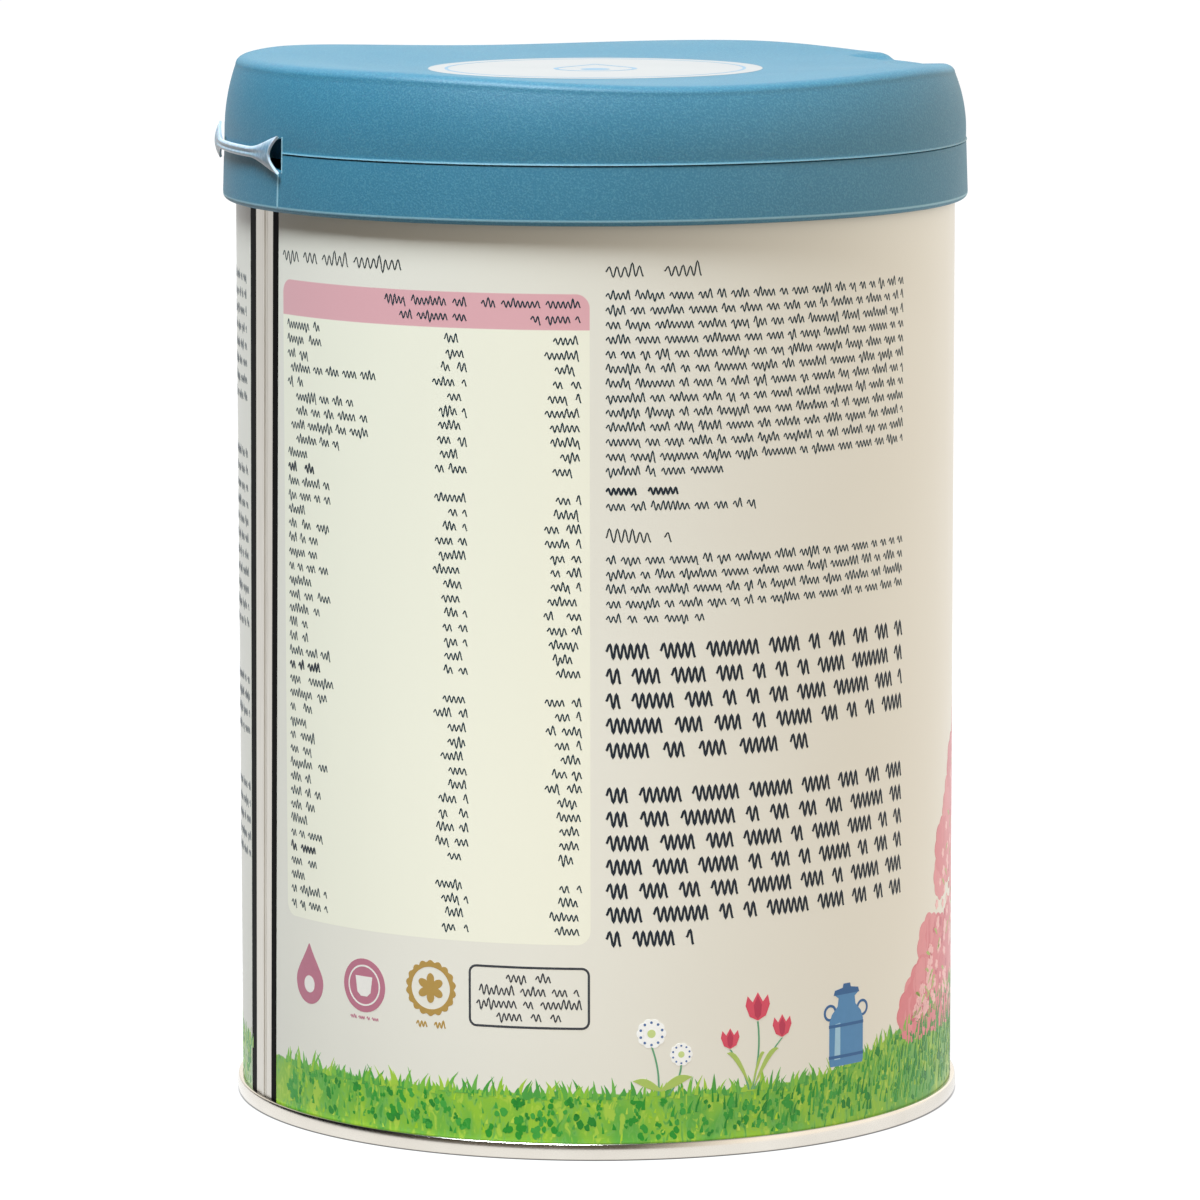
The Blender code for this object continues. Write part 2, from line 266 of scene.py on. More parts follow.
end_profile = [(0, PANEL_LEVEL), (PANEL_RINGS[0], PANEL_LEVEL), (BEAD_RADIUS - BEAD_WIDTH / 2, PANEL_LEVEL)]
for step in range(1, 12):
    share = step / 12
    dip = ease(share, 0, 0.3) * (1 - ease(share, 0.7, 1))
    end_profile.append((BEAD_RADIUS + (share - 0.5) * BEAD_WIDTH, PANEL_LEVEL - BEAD_DEPTH * dip))
end_profile += [(BEAD_RADIUS + BEAD_WIDTH / 2, PANEL_LEVEL), (PANEL_RINGS[1], PANEL_LEVEL)]
for step in range(13):
    share = step / 12
    lift = ease(share, 0, 0.33) * (1 - ease(share, 0.75, 1))
    end_profile.append((GROOVE_RADIUS + (share - 0.5) * GROOVE_WIDTH, PANEL_LEVEL + GROOVE_DEPTH * lift))
end_profile += arc(FOOT_INNER, FOOT_INNER - SEAM_INNER, FOOT_INNER - SEAM_INNER, 180, 270, 4)
end_profile += arc(FOOT_OUTER, SEAM_ROUND, SEAM_ROUND, -90, -14, 5)
seam_face = SEAM_HEIGHT / 2 - SEAM_ROUND
for step in range(1, 9):
    share = step / 9 * 2 - 1
    end_profile.append((SEAM_RADIUS - SEAM_BARREL * share * share, SEAM_HEIGHT / 2 + share * seam_face))
end_profile += arc(FOOT_OUTER, SEAM_HEIGHT - SEAM_ROUND, SEAM_ROUND, 14, 90, 5)
end_profile += [
    (WALL_RADIUS + SEAM_GAP, SEAM_HEIGHT),
    (WALL_RADIUS + SEAM_GAP / 2, SEAM_HEIGHT - CREVICE),
    (CREVICE_INNER, SEAM_HEIGHT - CREVICE),
    (CREVICE_INNER, PANEL_BACK),
    (0, PANEL_BACK),
]
base_end = turned("base_end", end_profile)
finish(base_end, tinplate, 40)
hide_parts("bottom_end")

# Can wall: one sheet of tinplate, printed flat with a cream coat and fields of ink, varnished, and
# rolled into a tube. Here it runs from inside the base seam up under the lid.
WALL_FOOT = 2.75 * MM
WALL_TOP = 165.9 * MM
SHEET_HALF = math.pi * WALL_RADIUS / MM
wall_profile = [(0, WALL_FOOT), (WALL_RADIUS, WALL_FOOT), (WALL_RADIUS, WALL_TOP), (0, WALL_TOP)]
wall = turned("can_wall", wall_profile)

# The print's fields, in millimetres on the unrolled sheet: along it from the camera's line, and up.
PRINT_EDGE = 0.06
TABLE_CENTRE, TABLE_HALF, TABLE_CORNER = (-32.6, 92.9), (31.6, 55.6), 2.4
HEADER_FOOT = 142.4
MEADOW_TOP = 11.4
HILL_AT, HILL_REACH, HILL_FLAT, HILL_RISE = 92.0, 58.0, 6.0, 9.5
FAR_LABEL_CENTRE, FAR_LABEL_HALF, FAR_LABEL_CORNER = (0, 88.0), (46.0, 60.0), 9.0
SEAM_AT = -72.7
STRIPE_LEFT, FADE_LENGTH = 6.9, 14

# Printed tinplate: a cream roller coat, offset inks and a satin stoving varnish. The varnish gives one
# soft sheen over all the colours, with a faint orange peel; the sheet keeps slight bends from rolling.
ORANGE_PEEL = 0.9 * MM
ROLLED_BEND = 14 * MM
SMEAR = 26.32 * MM
CREAM_CLOUD = 41.67 * MM
RAGGED_EDGE = 2.381 * MM
GREEN_WASH = 10.53 * MM
GREEN_DAUB = 1.786 * MM


def sheet_place(tree, here):
    """The place on the unrolled sheet, in millimetres, as a node whose output is a vector."""
    turn = add(tree, "Mapping", {"Vector": here, "Rotation": (0, 0, -math.radians(VIEW_ANGLE))})
    parts = add(tree, "SeparateXYZ", {0: turn})
    angle = add(tree, "Math", {0: (parts, "Y"), 1: (parts, "X")}, operation="ARCTAN2")
    along = add(tree, "Math", {0: angle, 1: WALL_RADIUS / MM}, operation="MULTIPLY")
    up = add(tree, "Math", {0: (parts, "Z"), 1: 1 / MM}, operation="MULTIPLY")
    return add(tree, "CombineXYZ", {0: along, 1: up})


def sheet_box(tree, sheet, centre, half, corner):
    """One inside a round-cornered box on the sheet, nought outside, with a hair of softness."""
    offset = add(tree, "VectorMath", {0: sheet, 1: (*centre, 0)}, operation="SUBTRACT")
    folded = add(tree, "VectorMath", {0: offset}, operation="ABSOLUTE")
    straight = (half[0] - corner, half[1] - corner, 0)
    beyond = add(tree, "VectorMath", {0: folded, 1: straight}, operation="SUBTRACT")
    outside = add(tree, "VectorMath", {0: beyond, 1: (0, 0, 0)}, operation="MAXIMUM")
    reach = add(tree, "VectorMath", {0: outside}, operation="LENGTH")
    edge = {"From Min": corner + PRINT_EDGE, "From Max": corner - PRINT_EDGE}
    return add(tree, "MapRange", {"Value": (reach, "Value"), **edge})


def varnish(tree, here, colour):
    """The satin varnish over a printed colour, with its orange peel and the sheet's slight bends."""
    upright = add(tree, "Mapping", {"Vector": here, "Scale": (1.0, 1.0, 0.12)})
    bends = add(tree, "TexNoise", {"Vector": upright, "Scale": 1 / ROLLED_BEND, "Detail": 1.0})
    peel = add(tree, "TexNoise", {"Vector": here, "Scale": 1 / ORANGE_PEEL, "Detail": 2.0})
    bent = add(tree, "Bump", {"Height": (bends, "Fac"), "Strength": 0.25, "Distance": 0.35 * MM})
    dimples = {"Height": (peel, "Fac"), "Normal": bent, "Strength": 0.10, "Distance": 0.03 * MM}
    dimpled = add(tree, "Bump", dimples)
    smears = add(tree, "TexNoise", {"Vector": here, "Scale": 1 / SMEAR, "Detail": 5.0})
    dullness = add(tree, "MapRange", {"Value": (smears, "Fac"), "To Min": 0.30, "To Max": 0.42})
    satin = {"IOR": 1.5, "Specular IOR Level": 0.3, "Coat Weight": 0.1, "Coat Roughness": 0.12}
    coat = {"Base Color": colour, "Roughness": dullness, "Normal": dimpled, **satin}
    add(tree, "OutputMaterial", {"Surface": add(tree, "BsdfPrincipled", coat)})


printed_tin, tree, here = surface("printed_and_varnished_tinplate")
sheet = sheet_place(tree, here)
sheet_parts = add(tree, "SeparateXYZ", {0: sheet})
clouds = add(tree, "TexNoise", {"Vector": here, "Scale": 1 / CREAM_CLOUD, "Detail": 3.0})
cream = over(tree, "#E2DDD0", "#E6E2D6", (clouds, "Fac"))
table = sheet_box(tree, sheet, TABLE_CENTRE, TABLE_HALF, TABLE_CORNER)
at_foot = {"From Min": HEADER_FOOT - PRINT_EDGE, "From Max": HEADER_FOOT + PRINT_EDGE}
over_foot = add(tree, "MapRange", {"Value": (sheet_parts, "Y"), **at_foot})
header = add(tree, "Math", {0: table, 1: over_foot}, operation="MULTIPLY")
fields = over(tree, cream, "#EFECD9", table)
fields = over(tree, fields, "#DDA8AD", header)

# The far side's label field: the back of the sheet is as far from the camera's line either way
from_line = add(tree, "Math", {0: (sheet_parts, "X")}, operation="ABSOLUTE")
from_back = add(tree, "Math", {1: from_line, 0: SHEET_HALF}, operation="SUBTRACT")
back_sheet = add(tree, "CombineXYZ", {0: from_back, 1: (sheet_parts, "Y")})
back_field = sheet_box(tree, back_sheet, FAR_LABEL_CENTRE, FAR_LABEL_HALF, FAR_LABEL_CORNER)
fields = over(tree, fields, "#F0EEE4", back_field)

# Meadow: washes of green, from yellow to deep green, up to a ragged edge that climbs a low hill
from_hill = add(tree, "Math", {0: (sheet_parts, "X"), 1: HILL_AT}, operation="SUBTRACT")
off_hill = add(tree, "Math", {0: from_hill}, operation="ABSOLUTE")
hill_top = MEADOW_TOP + HILL_RISE
slope = {"From Min": HILL_REACH, "From Max": HILL_FLAT, "To Min": MEADOW_TOP, "To Max": hill_top}
climb = add(tree, "MapRange", {"Value": off_hill, **slope}, interpolation_type="SMOOTHSTEP")
ragged = add(tree, "TexNoise", {"Vector": here, "Scale": 1 / RAGGED_EDGE, "Detail": 2.0})
raised = add(tree, "Math", {0: (ragged, "Fac"), 1: climb}, operation="ADD")
depth = add(tree, "Math", {0: raised, 1: (sheet_parts, "Y")}, operation="SUBTRACT")
meadow = add(tree, "MapRange", {"Value": depth, "From Min": 0.35, "From Max": 0.55})
brushed = add(tree, "Mapping", {"Vector": here, "Scale": (1.0, 1.0, 0.45)})
wash = add(tree, "TexNoise", {"Vector": brushed, "Scale": 1 / GREEN_WASH, "Detail": 2.0, "Distortion": 0.8})
wash_share = add(tree, "MapRange", {"Value": (wash, "Fac"), "From Min": 0.38, "From Max": 0.60})
grass = over(tree, "#5CA63A", "#90BE30", wash_share)
daub = add(tree, "TexNoise", {"Vector": brushed, "Scale": 1 / GREEN_DAUB, "Detail": 4.0, "Distortion": 1.2})
for colour, low, high in (("#74B254", 0.53, 0.63), ("#AECB44", 0.44, 0.36), ("#2C8C2A", 0.60, 0.68)):
    span = {"From Min": low, "From Max": high, "To Max": 0.75}
    grass = over(tree, grass, colour, add(tree, "MapRange", {"Value": (daub, "Fac"), **span}))
stripe_end = SEAM_AT - STRIPE_LEFT
past_seam = {"From Min": stripe_end - FADE_LENGTH, "From Max": stripe_end, "To Max": 0.62}
faded = add(tree, "MapRange", {"Value": (sheet_parts, "X"), **past_seam})
left_of_seam = add(tree, "Math", {0: (sheet_parts, "X"), 1: SEAM_AT}, operation="LESS_THAN")
pale = add(tree, "Math", {0: faded, 1: left_of_seam}, operation="MULTIPLY")
grass = over(tree, grass, "#E3E6D6", pale)
printed = over(tree, fields, grass, meadow)
varnish(tree, here, printed)
finish(wall, printed_tin)
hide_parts("tin_body")

# Side seam: the sheet's two edges lap and are welded from top to bottom. No ink or varnish can take
# the weld's heat, so the print stops at a bare margin, and a black stripe ends it on either side.
INK_LEVEL = 0.02
INK_SUNK = 0.08
INK_MOTTLE = 1.111 * MM
BLACK_RUB = 3.333 * MM
SHEET_CUT = 1.6
SEAM_LEAN = 0.0233
SEAM_LEAN_FROM = 109.0
BARE_HALF = 3.8
STRIPE_RIGHT = 5.9
WELD_HALF, WELD_LINE = 0.55, (1.25, 1.5)
MARGIN_LEVEL, WELD_LEVEL, WELD_LINE_LEVEL = 0.01, 0.16, 0.05
PRINT_FOOT = SEAM_HEIGHT / MM - 0.1
PRINT_TOP = WALL_TOP / MM - 2.0


def blank_sheet():
    """An empty flat sheet to lay print on, whose points carry their ink's colour."""
    flat = bmesh.new()
    flat.verts.layers.float_color.new("ink")
    return flat


def lay(flat, outline, ink, level=INK_LEVEL):
    """Lays one flat outline of ink on the sheet, in millimetres along and up it."""
    layer = flat.verts.layers.float_color["ink"]
    corners = [flat.verts.new((along, up, level)) for along, up in outline]
    for corner in corners:
        corner[layer] = linear(ink)
    return flat.faces.new(corners)


def lay_ribbon(flat, lefts, rights, ink, level=INK_LEVEL):
    """Lays a ribbon of ink between two rows of points."""
    layer = flat.verts.layers.float_color["ink"]
    rows = [[flat.verts.new((*point, level)) for point in row] for row in (lefts, rights)]
    for corner in rows[0] + rows[1]:
        corner[layer] = linear(ink)
    for a, b, c, d in zip(rows[0], rows[0][1:], rows[1][1:], rows[1]):
        flat.faces.new((a, b, c, d))


def built(name, shape):
    """A new object from a shape."""
    mesh = bpy.data.meshes.new(name)
    shape.to_mesh(mesh)
    shape.free()
    item = bpy.data.objects.new(name, mesh)
    bpy.context.scene.collection.objects.link(item)
    return item


def press_on(name, flat, place, material):
    """Thickens flat print to a thin closed piece, puts each point in its place and finishes it."""
    backs = bmesh.ops.extrude_face_region(flat, geom=flat.faces[:], use_keep_orig=True)["geom"]
    for part in backs:
        if isinstance(part, bmesh.types.BMVert):
            part.co.z = -INK_SUNK
    bmesh.ops.triangulate(flat, faces=flat.faces)
    bmesh.ops.recalc_face_normals(flat, faces=flat.faces)
    for vert in flat.verts:
        vert.co = place(*vert.co)
    finish(built(name, flat), material)


def on_wall(along, up, level):
    """The place on the wall of a point of the flat sheet."""
    turn = math.radians(VIEW_ANGLE) + along * MM / WALL_RADIUS
    radius = WALL_RADIUS + level * MM
    return radius * math.cos(turn), radius * math.sin(turn), up * MM


def roll_up(name, flat, material, cut=True):
    """Rolls flat print round the can, cut across first where its shapes are wide."""
    if cut:
        ends = [vert.co.x for vert in flat.verts]
        at = math.ceil(min(ends) / SHEET_CUT) * SHEET_CUT
        while at < max(ends):
            parts = flat.verts[:] + flat.edges[:] + flat.faces[:]
            bmesh.ops.bisect_plane(flat, geom=parts, dist=0.001, plane_co=(at, 0, 0), plane_no=(1, 0, 0))
            at += SHEET_CUT
    press_on(name, flat, on_wall, material)


def ink_surface(name, worn=0.06):
    """Ink under the wall's own varnish: its colour is the print's, a little uneven as inks lie."""
    material, tree, here = surface(name)
    colour = add(tree, "Attribute", attribute_name="ink")
    mottle = add(tree, "TexNoise", {"Vector": here, "Scale": 1 / INK_MOTTLE, "Detail": 3.0})
    thin = add(tree, "MapRange", {"Value": (mottle, "Fac"), "To Min": 1 - worn, "To Max": 1 + worn})
    uneven = add(tree, "VectorMath", {0: (colour, "Color"), 3: thin}, operation="SCALE")
    varnish(tree, here, uneven)
    return material


def seam_strip(left, right, foot=PRINT_FOOT, top=PRINT_TOP):
    """The corners of a strip that follows the weld, which leans a hair out of upright."""
    at_foot = SEAM_AT + SEAM_LEAN * (foot - SEAM_LEAN_FROM)
    at_top = SEAM_AT + SEAM_LEAN * (top - SEAM_LEAN_FROM)
    return [(at_foot + left, foot), (at_foot + right, foot), (at_top + right, top), (at_top + left, top)]


solid_ink = ink_surface("offset_ink_under_varnish")
black_ink, tree, here = surface("unvarnished_black_ink")
rubbed = add(tree, "TexNoise", {"Vector": here, "Scale": 1 / BLACK_RUB, "Detail": 4.0})
black = over(tree, "#030202", "#070605", (rubbed, "Fac"))
coat = {"Base Color": black, "Roughness": 0.5, "IOR": 1.2, "Specular IOR Level": 0.1}
add(tree, "OutputMaterial", {"Surface": add(tree, "BsdfPrincipled", coat)})
stripes = blank_sheet()
lay(stripes, seam_strip(-STRIPE_LEFT, -BARE_HALF), "#0C0A08")
lay(stripes, seam_strip(BARE_HALF, STRIPE_RIGHT), "#0C0A08")
roll_up("seam_black_stripes", stripes, black_ink)

bare_tin, tree, here = surface("bare_tinplate_margin")
drawn = add(tree, "Mapping", {"Vector": here, "Scale": (1.0, 1.0, 0.03)})
grain = add(tree, "TexNoise", {"Vector": drawn, "Scale": 1 / ROLLING_LINE, "Detail": 3.0})
grey = over(tree, "#C2BDB3", "#DCD8D0", (grain, "Fac"))
relief = add(tree, "Bump", {"Height": (grain, "Fac"), "Strength": 0.2, "Distance": 0.02 * MM})
bare = {"Base Color": grey, "Normal": relief, "Metallic": 1.0, "Roughness": 0.36}
add(tree, "OutputMaterial", {"Surface": add(tree, "BsdfPrincipled", bare)})
margin = blank_sheet()
lay(margin, seam_strip(-BARE_HALF, BARE_HALF), "#FFFFFF", MARGIN_LEVEL)
lay(margin, seam_strip(-WELD_HALF, WELD_HALF), "#FFFFFF", WELD_LEVEL)
lay(margin, seam_strip(*WELD_LINE), "#FFFFFF", WELD_LINE_LEVEL)
roll_up("seam_bare_margin", margin, bare_tin)

# Printed text: fine offset print in dark ink. The words themselves aren't copied, so each line is
# dummy print: a smooth scribbled wave for each word, at the real lines' places, height and weight.
TEXT_INK = "#122C36"
BOLD_INK = "#081A26"
NAVY_INK = "#051422"
SMALL = {"height": 1.12, "weight": 0.23, "ink": TEXT_INK}
BOLD = {"height": 1.16, "weight": 0.36, "ink": BOLD_INK}
TITLE = {"height": 1.72, "weight": 0.24, "ink": "#0E2026"}
LARGE = {"height": 2.6, "weight": 0.42, "ink": NAVY_INK, "pace": 0.46, "even": True}
WORD_WAVES = (2, 2, 3, 3, 4, 4, 5, 5, 6, 7, 8)
WORD_GAP = 0.75
draw = random.Random(7)


def pen(flat, stroke, weight, ink, level=INK_LEVEL):
    """Lays a pen stroke of even weight along a line of points."""
    lefts, rights = [], []
    for point, (along, up) in enumerate(stroke):
        before = stroke[max(0, point - 1)]
        after = stroke[min(len(stroke) - 1, point + 1)]
        run, rise = after[0] - before[0], after[1] - before[1]
        reach = weight / 2 / math.hypot(run, rise)
        lefts.append((along - rise * reach, up + run * reach))
        rights.append((along + rise * reach, up - run * reach))
    lay_ribbon(flat, lefts, rights, ink, level)


def scribble(flat, start, waves, pitch, foot, height, weight, ink, even):
    """One word of dummy print: waves between the print's foot and its height, some of them taller."""
    turns = [(start, foot + 0.5 * height)]
    for turn in range(1, 2 * waves + 1):
        level = foot + (height if turn % 2 else 0)
        if not even:
            level += height * draw.uniform(-0.06, 0.06)
            tall = draw.random()
            if turn % 2 and tall < 0.24:
                level += 0.40 * height
            elif not turn % 2 and tall < 0.08:
                level -= 0.36 * height
        turns.append((start + pitch * (turn / 2 + draw.uniform(-0.06, 0.06)), level))
    line = [turns[0]]
    for (at, level), (next_at, next_level) in zip(turns, turns[1:]):
        for step in (1, 2, 3, 4):
            share = step / 4
            swing = (1 - math.cos(math.pi * share)) / 2
            line.append((at + (next_at - at) * share, level + (next_level - level) * swing))
    pen(flat, line, weight, ink)


def dummy_line(flat, start, end, middle, height, weight, ink, pace=0.74, even=False):
    """One line of dummy print, its words spread evenly from start to end."""
    room, pitch, gap = end - start, pace * height, WORD_GAP * height
    words, used = [], 0
    while room - used > pitch:
        waves = min(draw.choice(WORD_WAVES), int((room - used) / pitch))
        words.append(waves)
        used += waves * pitch + gap
    gap = (room - sum(words) * pitch) / max(1, len(words) - 1)
    at = start
    for waves in words:
        scribble(flat, at, waves, pitch, middle - height / 2, height, weight, ink, even)
        at += waves * pitch + gap


def paragraph(flat, start, end, top, pitch, lines, style, last=None):
    """Lines of dummy print set to the same width, with the last one shorter."""
    for line in range(lines):
        stop = last if last and line == lines - 1 else end
        dummy_line(flat, start, stop, top - line * pitch, **style)


table_text = blank_sheet()
dummy_line(table_text, -64.2, -34.6, 152.6, **TITLE)
dummy_line(table_text, -38.0, -22.3, 146.7, **SMALL)
dummy_line(table_text, -35.0, -22.3, 144.2, **SMALL)
dummy_line(table_text, -19.6, -2.6, 146.7, **SMALL)
dummy_line(table_text, -11.0, -2.6, 144.2, **SMALL)

# The table: groups of rows, each after the first under a bold title, with two columns of amounts
ROW_TOP, ROW_PITCH = 140.7, 2.463
LABEL_AT, FIRST_COLUMN, SECOND_COLUMN = -62.8, -22.3, -2.5
row_level = ROW_TOP
for group, rows in enumerate((10, 13, 12, 4)):
    if group:
        dummy_line(table_text, LABEL_AT, LABEL_AT + draw.uniform(6, 12), row_level, **BOLD)
        row_level -= ROW_PITCH
    for row in range(rows):
        indent = draw.choice((0, 1.0, 2.6)) if group == 0 and row > 2 else 0
        label = draw.uniform(4.5, 13) + (draw.uniform(4, 12) if indent else 0)
        dummy_line(table_text, LABEL_AT + indent, LABEL_AT + indent + label, row_level, **SMALL)
        for column in (FIRST_COLUMN, SECOND_COLUMN):
            dummy_line(table_text, column - draw.uniform(3.4, 6.4), column, row_level - 0.2, **SMALL)
        row_level -= ROW_PITCH
roll_up("print_table_text", table_text, solid_ink, cut=False)

BLOCK_LEFT, BLOCK_RIGHT = 1.7, 62.6
block_text = blank_sheet()
dummy_line(block_text, BLOCK_LEFT, 18.0, 152.3, **TITLE)
paragraph(block_text, BLOCK_LEFT, BLOCK_RIGHT, 148.15, 2.475, 13, SMALL, 22.0)
dummy_line(block_text, BLOCK_LEFT, 14.0, 115.1, **BOLD)
dummy_line(block_text, BLOCK_LEFT, 28.0, 112.4, **SMALL)
dummy_line(block_text, BLOCK_LEFT, 12.9, 107.2, **TITLE)
paragraph(block_text, BLOCK_LEFT, BLOCK_RIGHT, 103.3, 2.5, 5, SMALL, 18.6)
roll_up("print_block_text", block_text, solid_ink, cut=False)

large_text = blank_sheet()
paragraph(large_text, BLOCK_LEFT, BLOCK_RIGHT, 87.8, 4.25, 5, LARGE, 38.5)
paragraph(large_text, BLOCK_LEFT, BLOCK_RIGHT, 63.1, 4.13, 7, LARGE, 16.7)
roll_up("print_large_text", large_text, solid_ink, cut=False)

far_text = blank_sheet()
FAR_LEFT, FAR_RIGHT, BUSH_TEXT_LEFT, BUSH_TEXT_RIGHT, FAR_TITLE = 262.0, 317.2, 111.0, 146.0, 151.5
for top, lines, last in ((147.0, 9, 290.0), (116.0, 12, 300.0), (76.0, 5, 281.0), (57.0, 6, 296.0)):
    paragraph(far_text, FAR_LEFT, FAR_RIGHT, top, 3.0, lines, SMALL, last)
dummy_line(far_text, FAR_LEFT, 285.0, FAR_TITLE, **TITLE)
dummy_line(far_text, BUSH_TEXT_LEFT, 131.0, FAR_TITLE, **TITLE)
paragraph(far_text, BUSH_TEXT_LEFT, BUSH_TEXT_RIGHT, 147.0, 2.7, 14, SMALL, 131.0)
dummy_line(far_text, BUSH_TEXT_LEFT, 128.0, 104.0, **BOLD)
paragraph(far_text, BUSH_TEXT_LEFT, BUSH_TEXT_RIGHT, 101.0, 2.7, 9, SMALL, 122.0)
label_lines = ((137.0, 25.0, LARGE), (130.5, 33.0, LARGE), (62.0, 22.0, TITLE), (41.0, 30.0, SMALL))
for level, half, style in label_lines:
    dummy_line(far_text, SHEET_HALF - half, SHEET_HALF + half, level, **style)
roll_up("print_far_text", far_text, solid_ink, cut=False)

# Badges and boxes: small spot-colour marks under the table, all plain ones of no maker: a mauve
# drop, a mauve disc with a cup, a gold rosette and a round-cornered box ruled in dark ink.
MAUVE, GOLD, RULE, PAPER = "#B67082", "#AE8B45", "#33353A", "#E9E4DC"
OVERPRINT = 0.035


def round_outline(along, up, radius, points=40, squash=1.0, start=0.0):
    """A circle or ellipse of print."""
    turns = [start + 2 * math.pi * point / points for point in range(points)]
    return [(along + radius * math.cos(turn), up + squash * radius * math.sin(turn)) for turn in turns]


def rosette_outline(along, up, radius, lobes, depth, points=96):
    """A disc with a scalloped edge."""
    outline = []
    for point in range(points):
        turn = 2 * math.pi * point / points
        reach = radius * (1 - depth + depth * abs(math.sin(lobes * turn / 2)))
        outline.append((along + reach * math.cos(turn), up + reach * math.sin(turn)))
    return outline


def drop_outline(along, up, radius, points=36):
    """A milk drop: a circle drawn up into a point."""
    outline = []
    for point in range(points):
        turn = 2 * math.pi * point / points + math.pi / 2
        stretch = max(0.0, math.sin(turn)) ** 3
        outline.append((along + radius * math.cos(turn) * (1 - 0.75 * stretch),
                        up + radius * (math.sin(turn) + 0.75 * stretch)))
    return outline


def box_outline(left, right, foot, top, corner, steps=5):
    """A box with rounded corners."""
    outline = []
    middles = ((right - corner, top - corner), (left + corner, top - corner),
               (left + corner, foot + corner), (right - corner, foot + corner))
    for quarter, (along, up) in enumerate(middles):
        for step in range(steps + 1):
            turn = math.pi / 2 * (quarter + step / steps)
            outline.append((along + corner * math.cos(turn), up + corner * math.sin(turn)))
    return outline


def lay_band(flat, outer, inner, ink, level=INK_LEVEL):
    """Lays the band of ink between an outline and a smaller one with as many points."""
    lay_ribbon(flat, outer + outer[:1], inner + inner[:1], ink, level)


badges = blank_sheet()
lay(badges, drop_outline(-57.4, 26.3, 3.9), MAUVE)
lay(badges, round_outline(-57.4, 25.9, 1.5, 24), PAPER, OVERPRINT)
lay(badges, round_outline(-43.4, 27.6, 4.7), MAUVE)
lay_band(badges, round_outline(-43.4, 27.6, 3.6), round_outline(-43.4, 27.6, 3.3), PAPER, OVERPRINT)
cup = [(-45.3, 29.2), (-44.9, 26.4), (-44.1, 25.7), (-42.7, 25.7), (-41.9, 26.4), (-41.5, 29.2)]
lay(badges, cup, PAPER, OVERPRINT)
lay_band(badges, rosette_outline(-29.5, 28.6, 4.9, 18, 0.10), round_outline(-29.5, 28.6, 3.7, 96), GOLD)
lay(badges, rosette_outline(-29.5, 28.6, 2.6, 6, 0.45), GOLD)
lay_band(badges, box_outline(-22.3, -1.1, 22.6, 33.4, 1.4), box_outline(-21.9, -1.5, 23.0, 33.0, 1.0), RULE)
for middle, half in ((31.2, 3.9), (28.9, 8.7), (26.7, 9.2), (24.5, 5.6)):
    dummy_line(badges, -11.7 - half, -11.7 + half, middle, 1.2, 0.24, RULE)
dummy_line(badges, -46.6, -40.2, 21.9, 0.5, 0.14, MAUVE)
dummy_line(badges, -32.3, -26.7, 22.2, 0.95, 0.26, GOLD)
roll_up("print_badges", badges, solid_ink)

# Meadow edge: short brush strokes at the green wash's ragged edge, with clover-like dark clumps and
# yellow touches lower down, and taller, darker strokes on the hill.
BLADE_GREENS = ("#7AB83C", "#5CA63C", "#8ABD34", "#46983A", "#9EC43C", "#68AE46")
DARK_GREENS = ("#1E8A1E", "#2C9228", "#3A9A34", "#187E1E")
YELLOW_GREENS = ("#A6CC26", "#B4CE46", "#98C222")
LOW_LEVELS = (0.02, 0.024, 0.028)
TIP_HALF = 0.015
STROKES_AT, STROKES_SPREAD = 76.0, 26.0
tuft_draw = random.Random(21)
between, pick = tuft_draw.uniform, tuft_draw.choice


def meadow_top(along):
    """The height of the green wash at a place along the sheet, as in the wall's material."""
    return MEADOW_TOP + 0.2 + HILL_RISE * ease(abs(along - HILL_AT), HILL_REACH, HILL_FLAT)


def blade(flat, along, foot, height, lean, width, ink, level=INK_LEVEL):
    """One brush stroke: broad at its foot, bent over by its lean, running out to a point."""
    lefts, rights = [], []
    for step in range(4):
        share = step / 3
        at = along + lean * share * share
        half = width / 2 * (1 - share ** 1.5) + TIP_HALF
        lefts.append((at - half, foot + height * share))
        rights.append((at + half, foot + height * share))
    lay_ribbon(flat, lefts, rights, ink, level)


def clover(flat, along, up, size, ink):
    """A clump of three or four rounded leaf dabs."""
    for dab in range(pick((2, 3, 3, 4))):
        turn = between(0, 2 * math.pi)
        at = along + 0.45 * size * math.cos(turn)
        level = up + 0.45 * size * math.sin(turn)
        radius = size * between(0.26, 0.42)
        outline = []
        for point in range(9):
            angle = 2 * math.pi * point / 9
            reach = radius * between(0.75, 1.2)
            outline.append((at + reach * math.cos(angle), level + 1.25 * reach * math.sin(angle)))
        lay(flat, outline, ink, pick((0.022, 0.026, 0.03)))


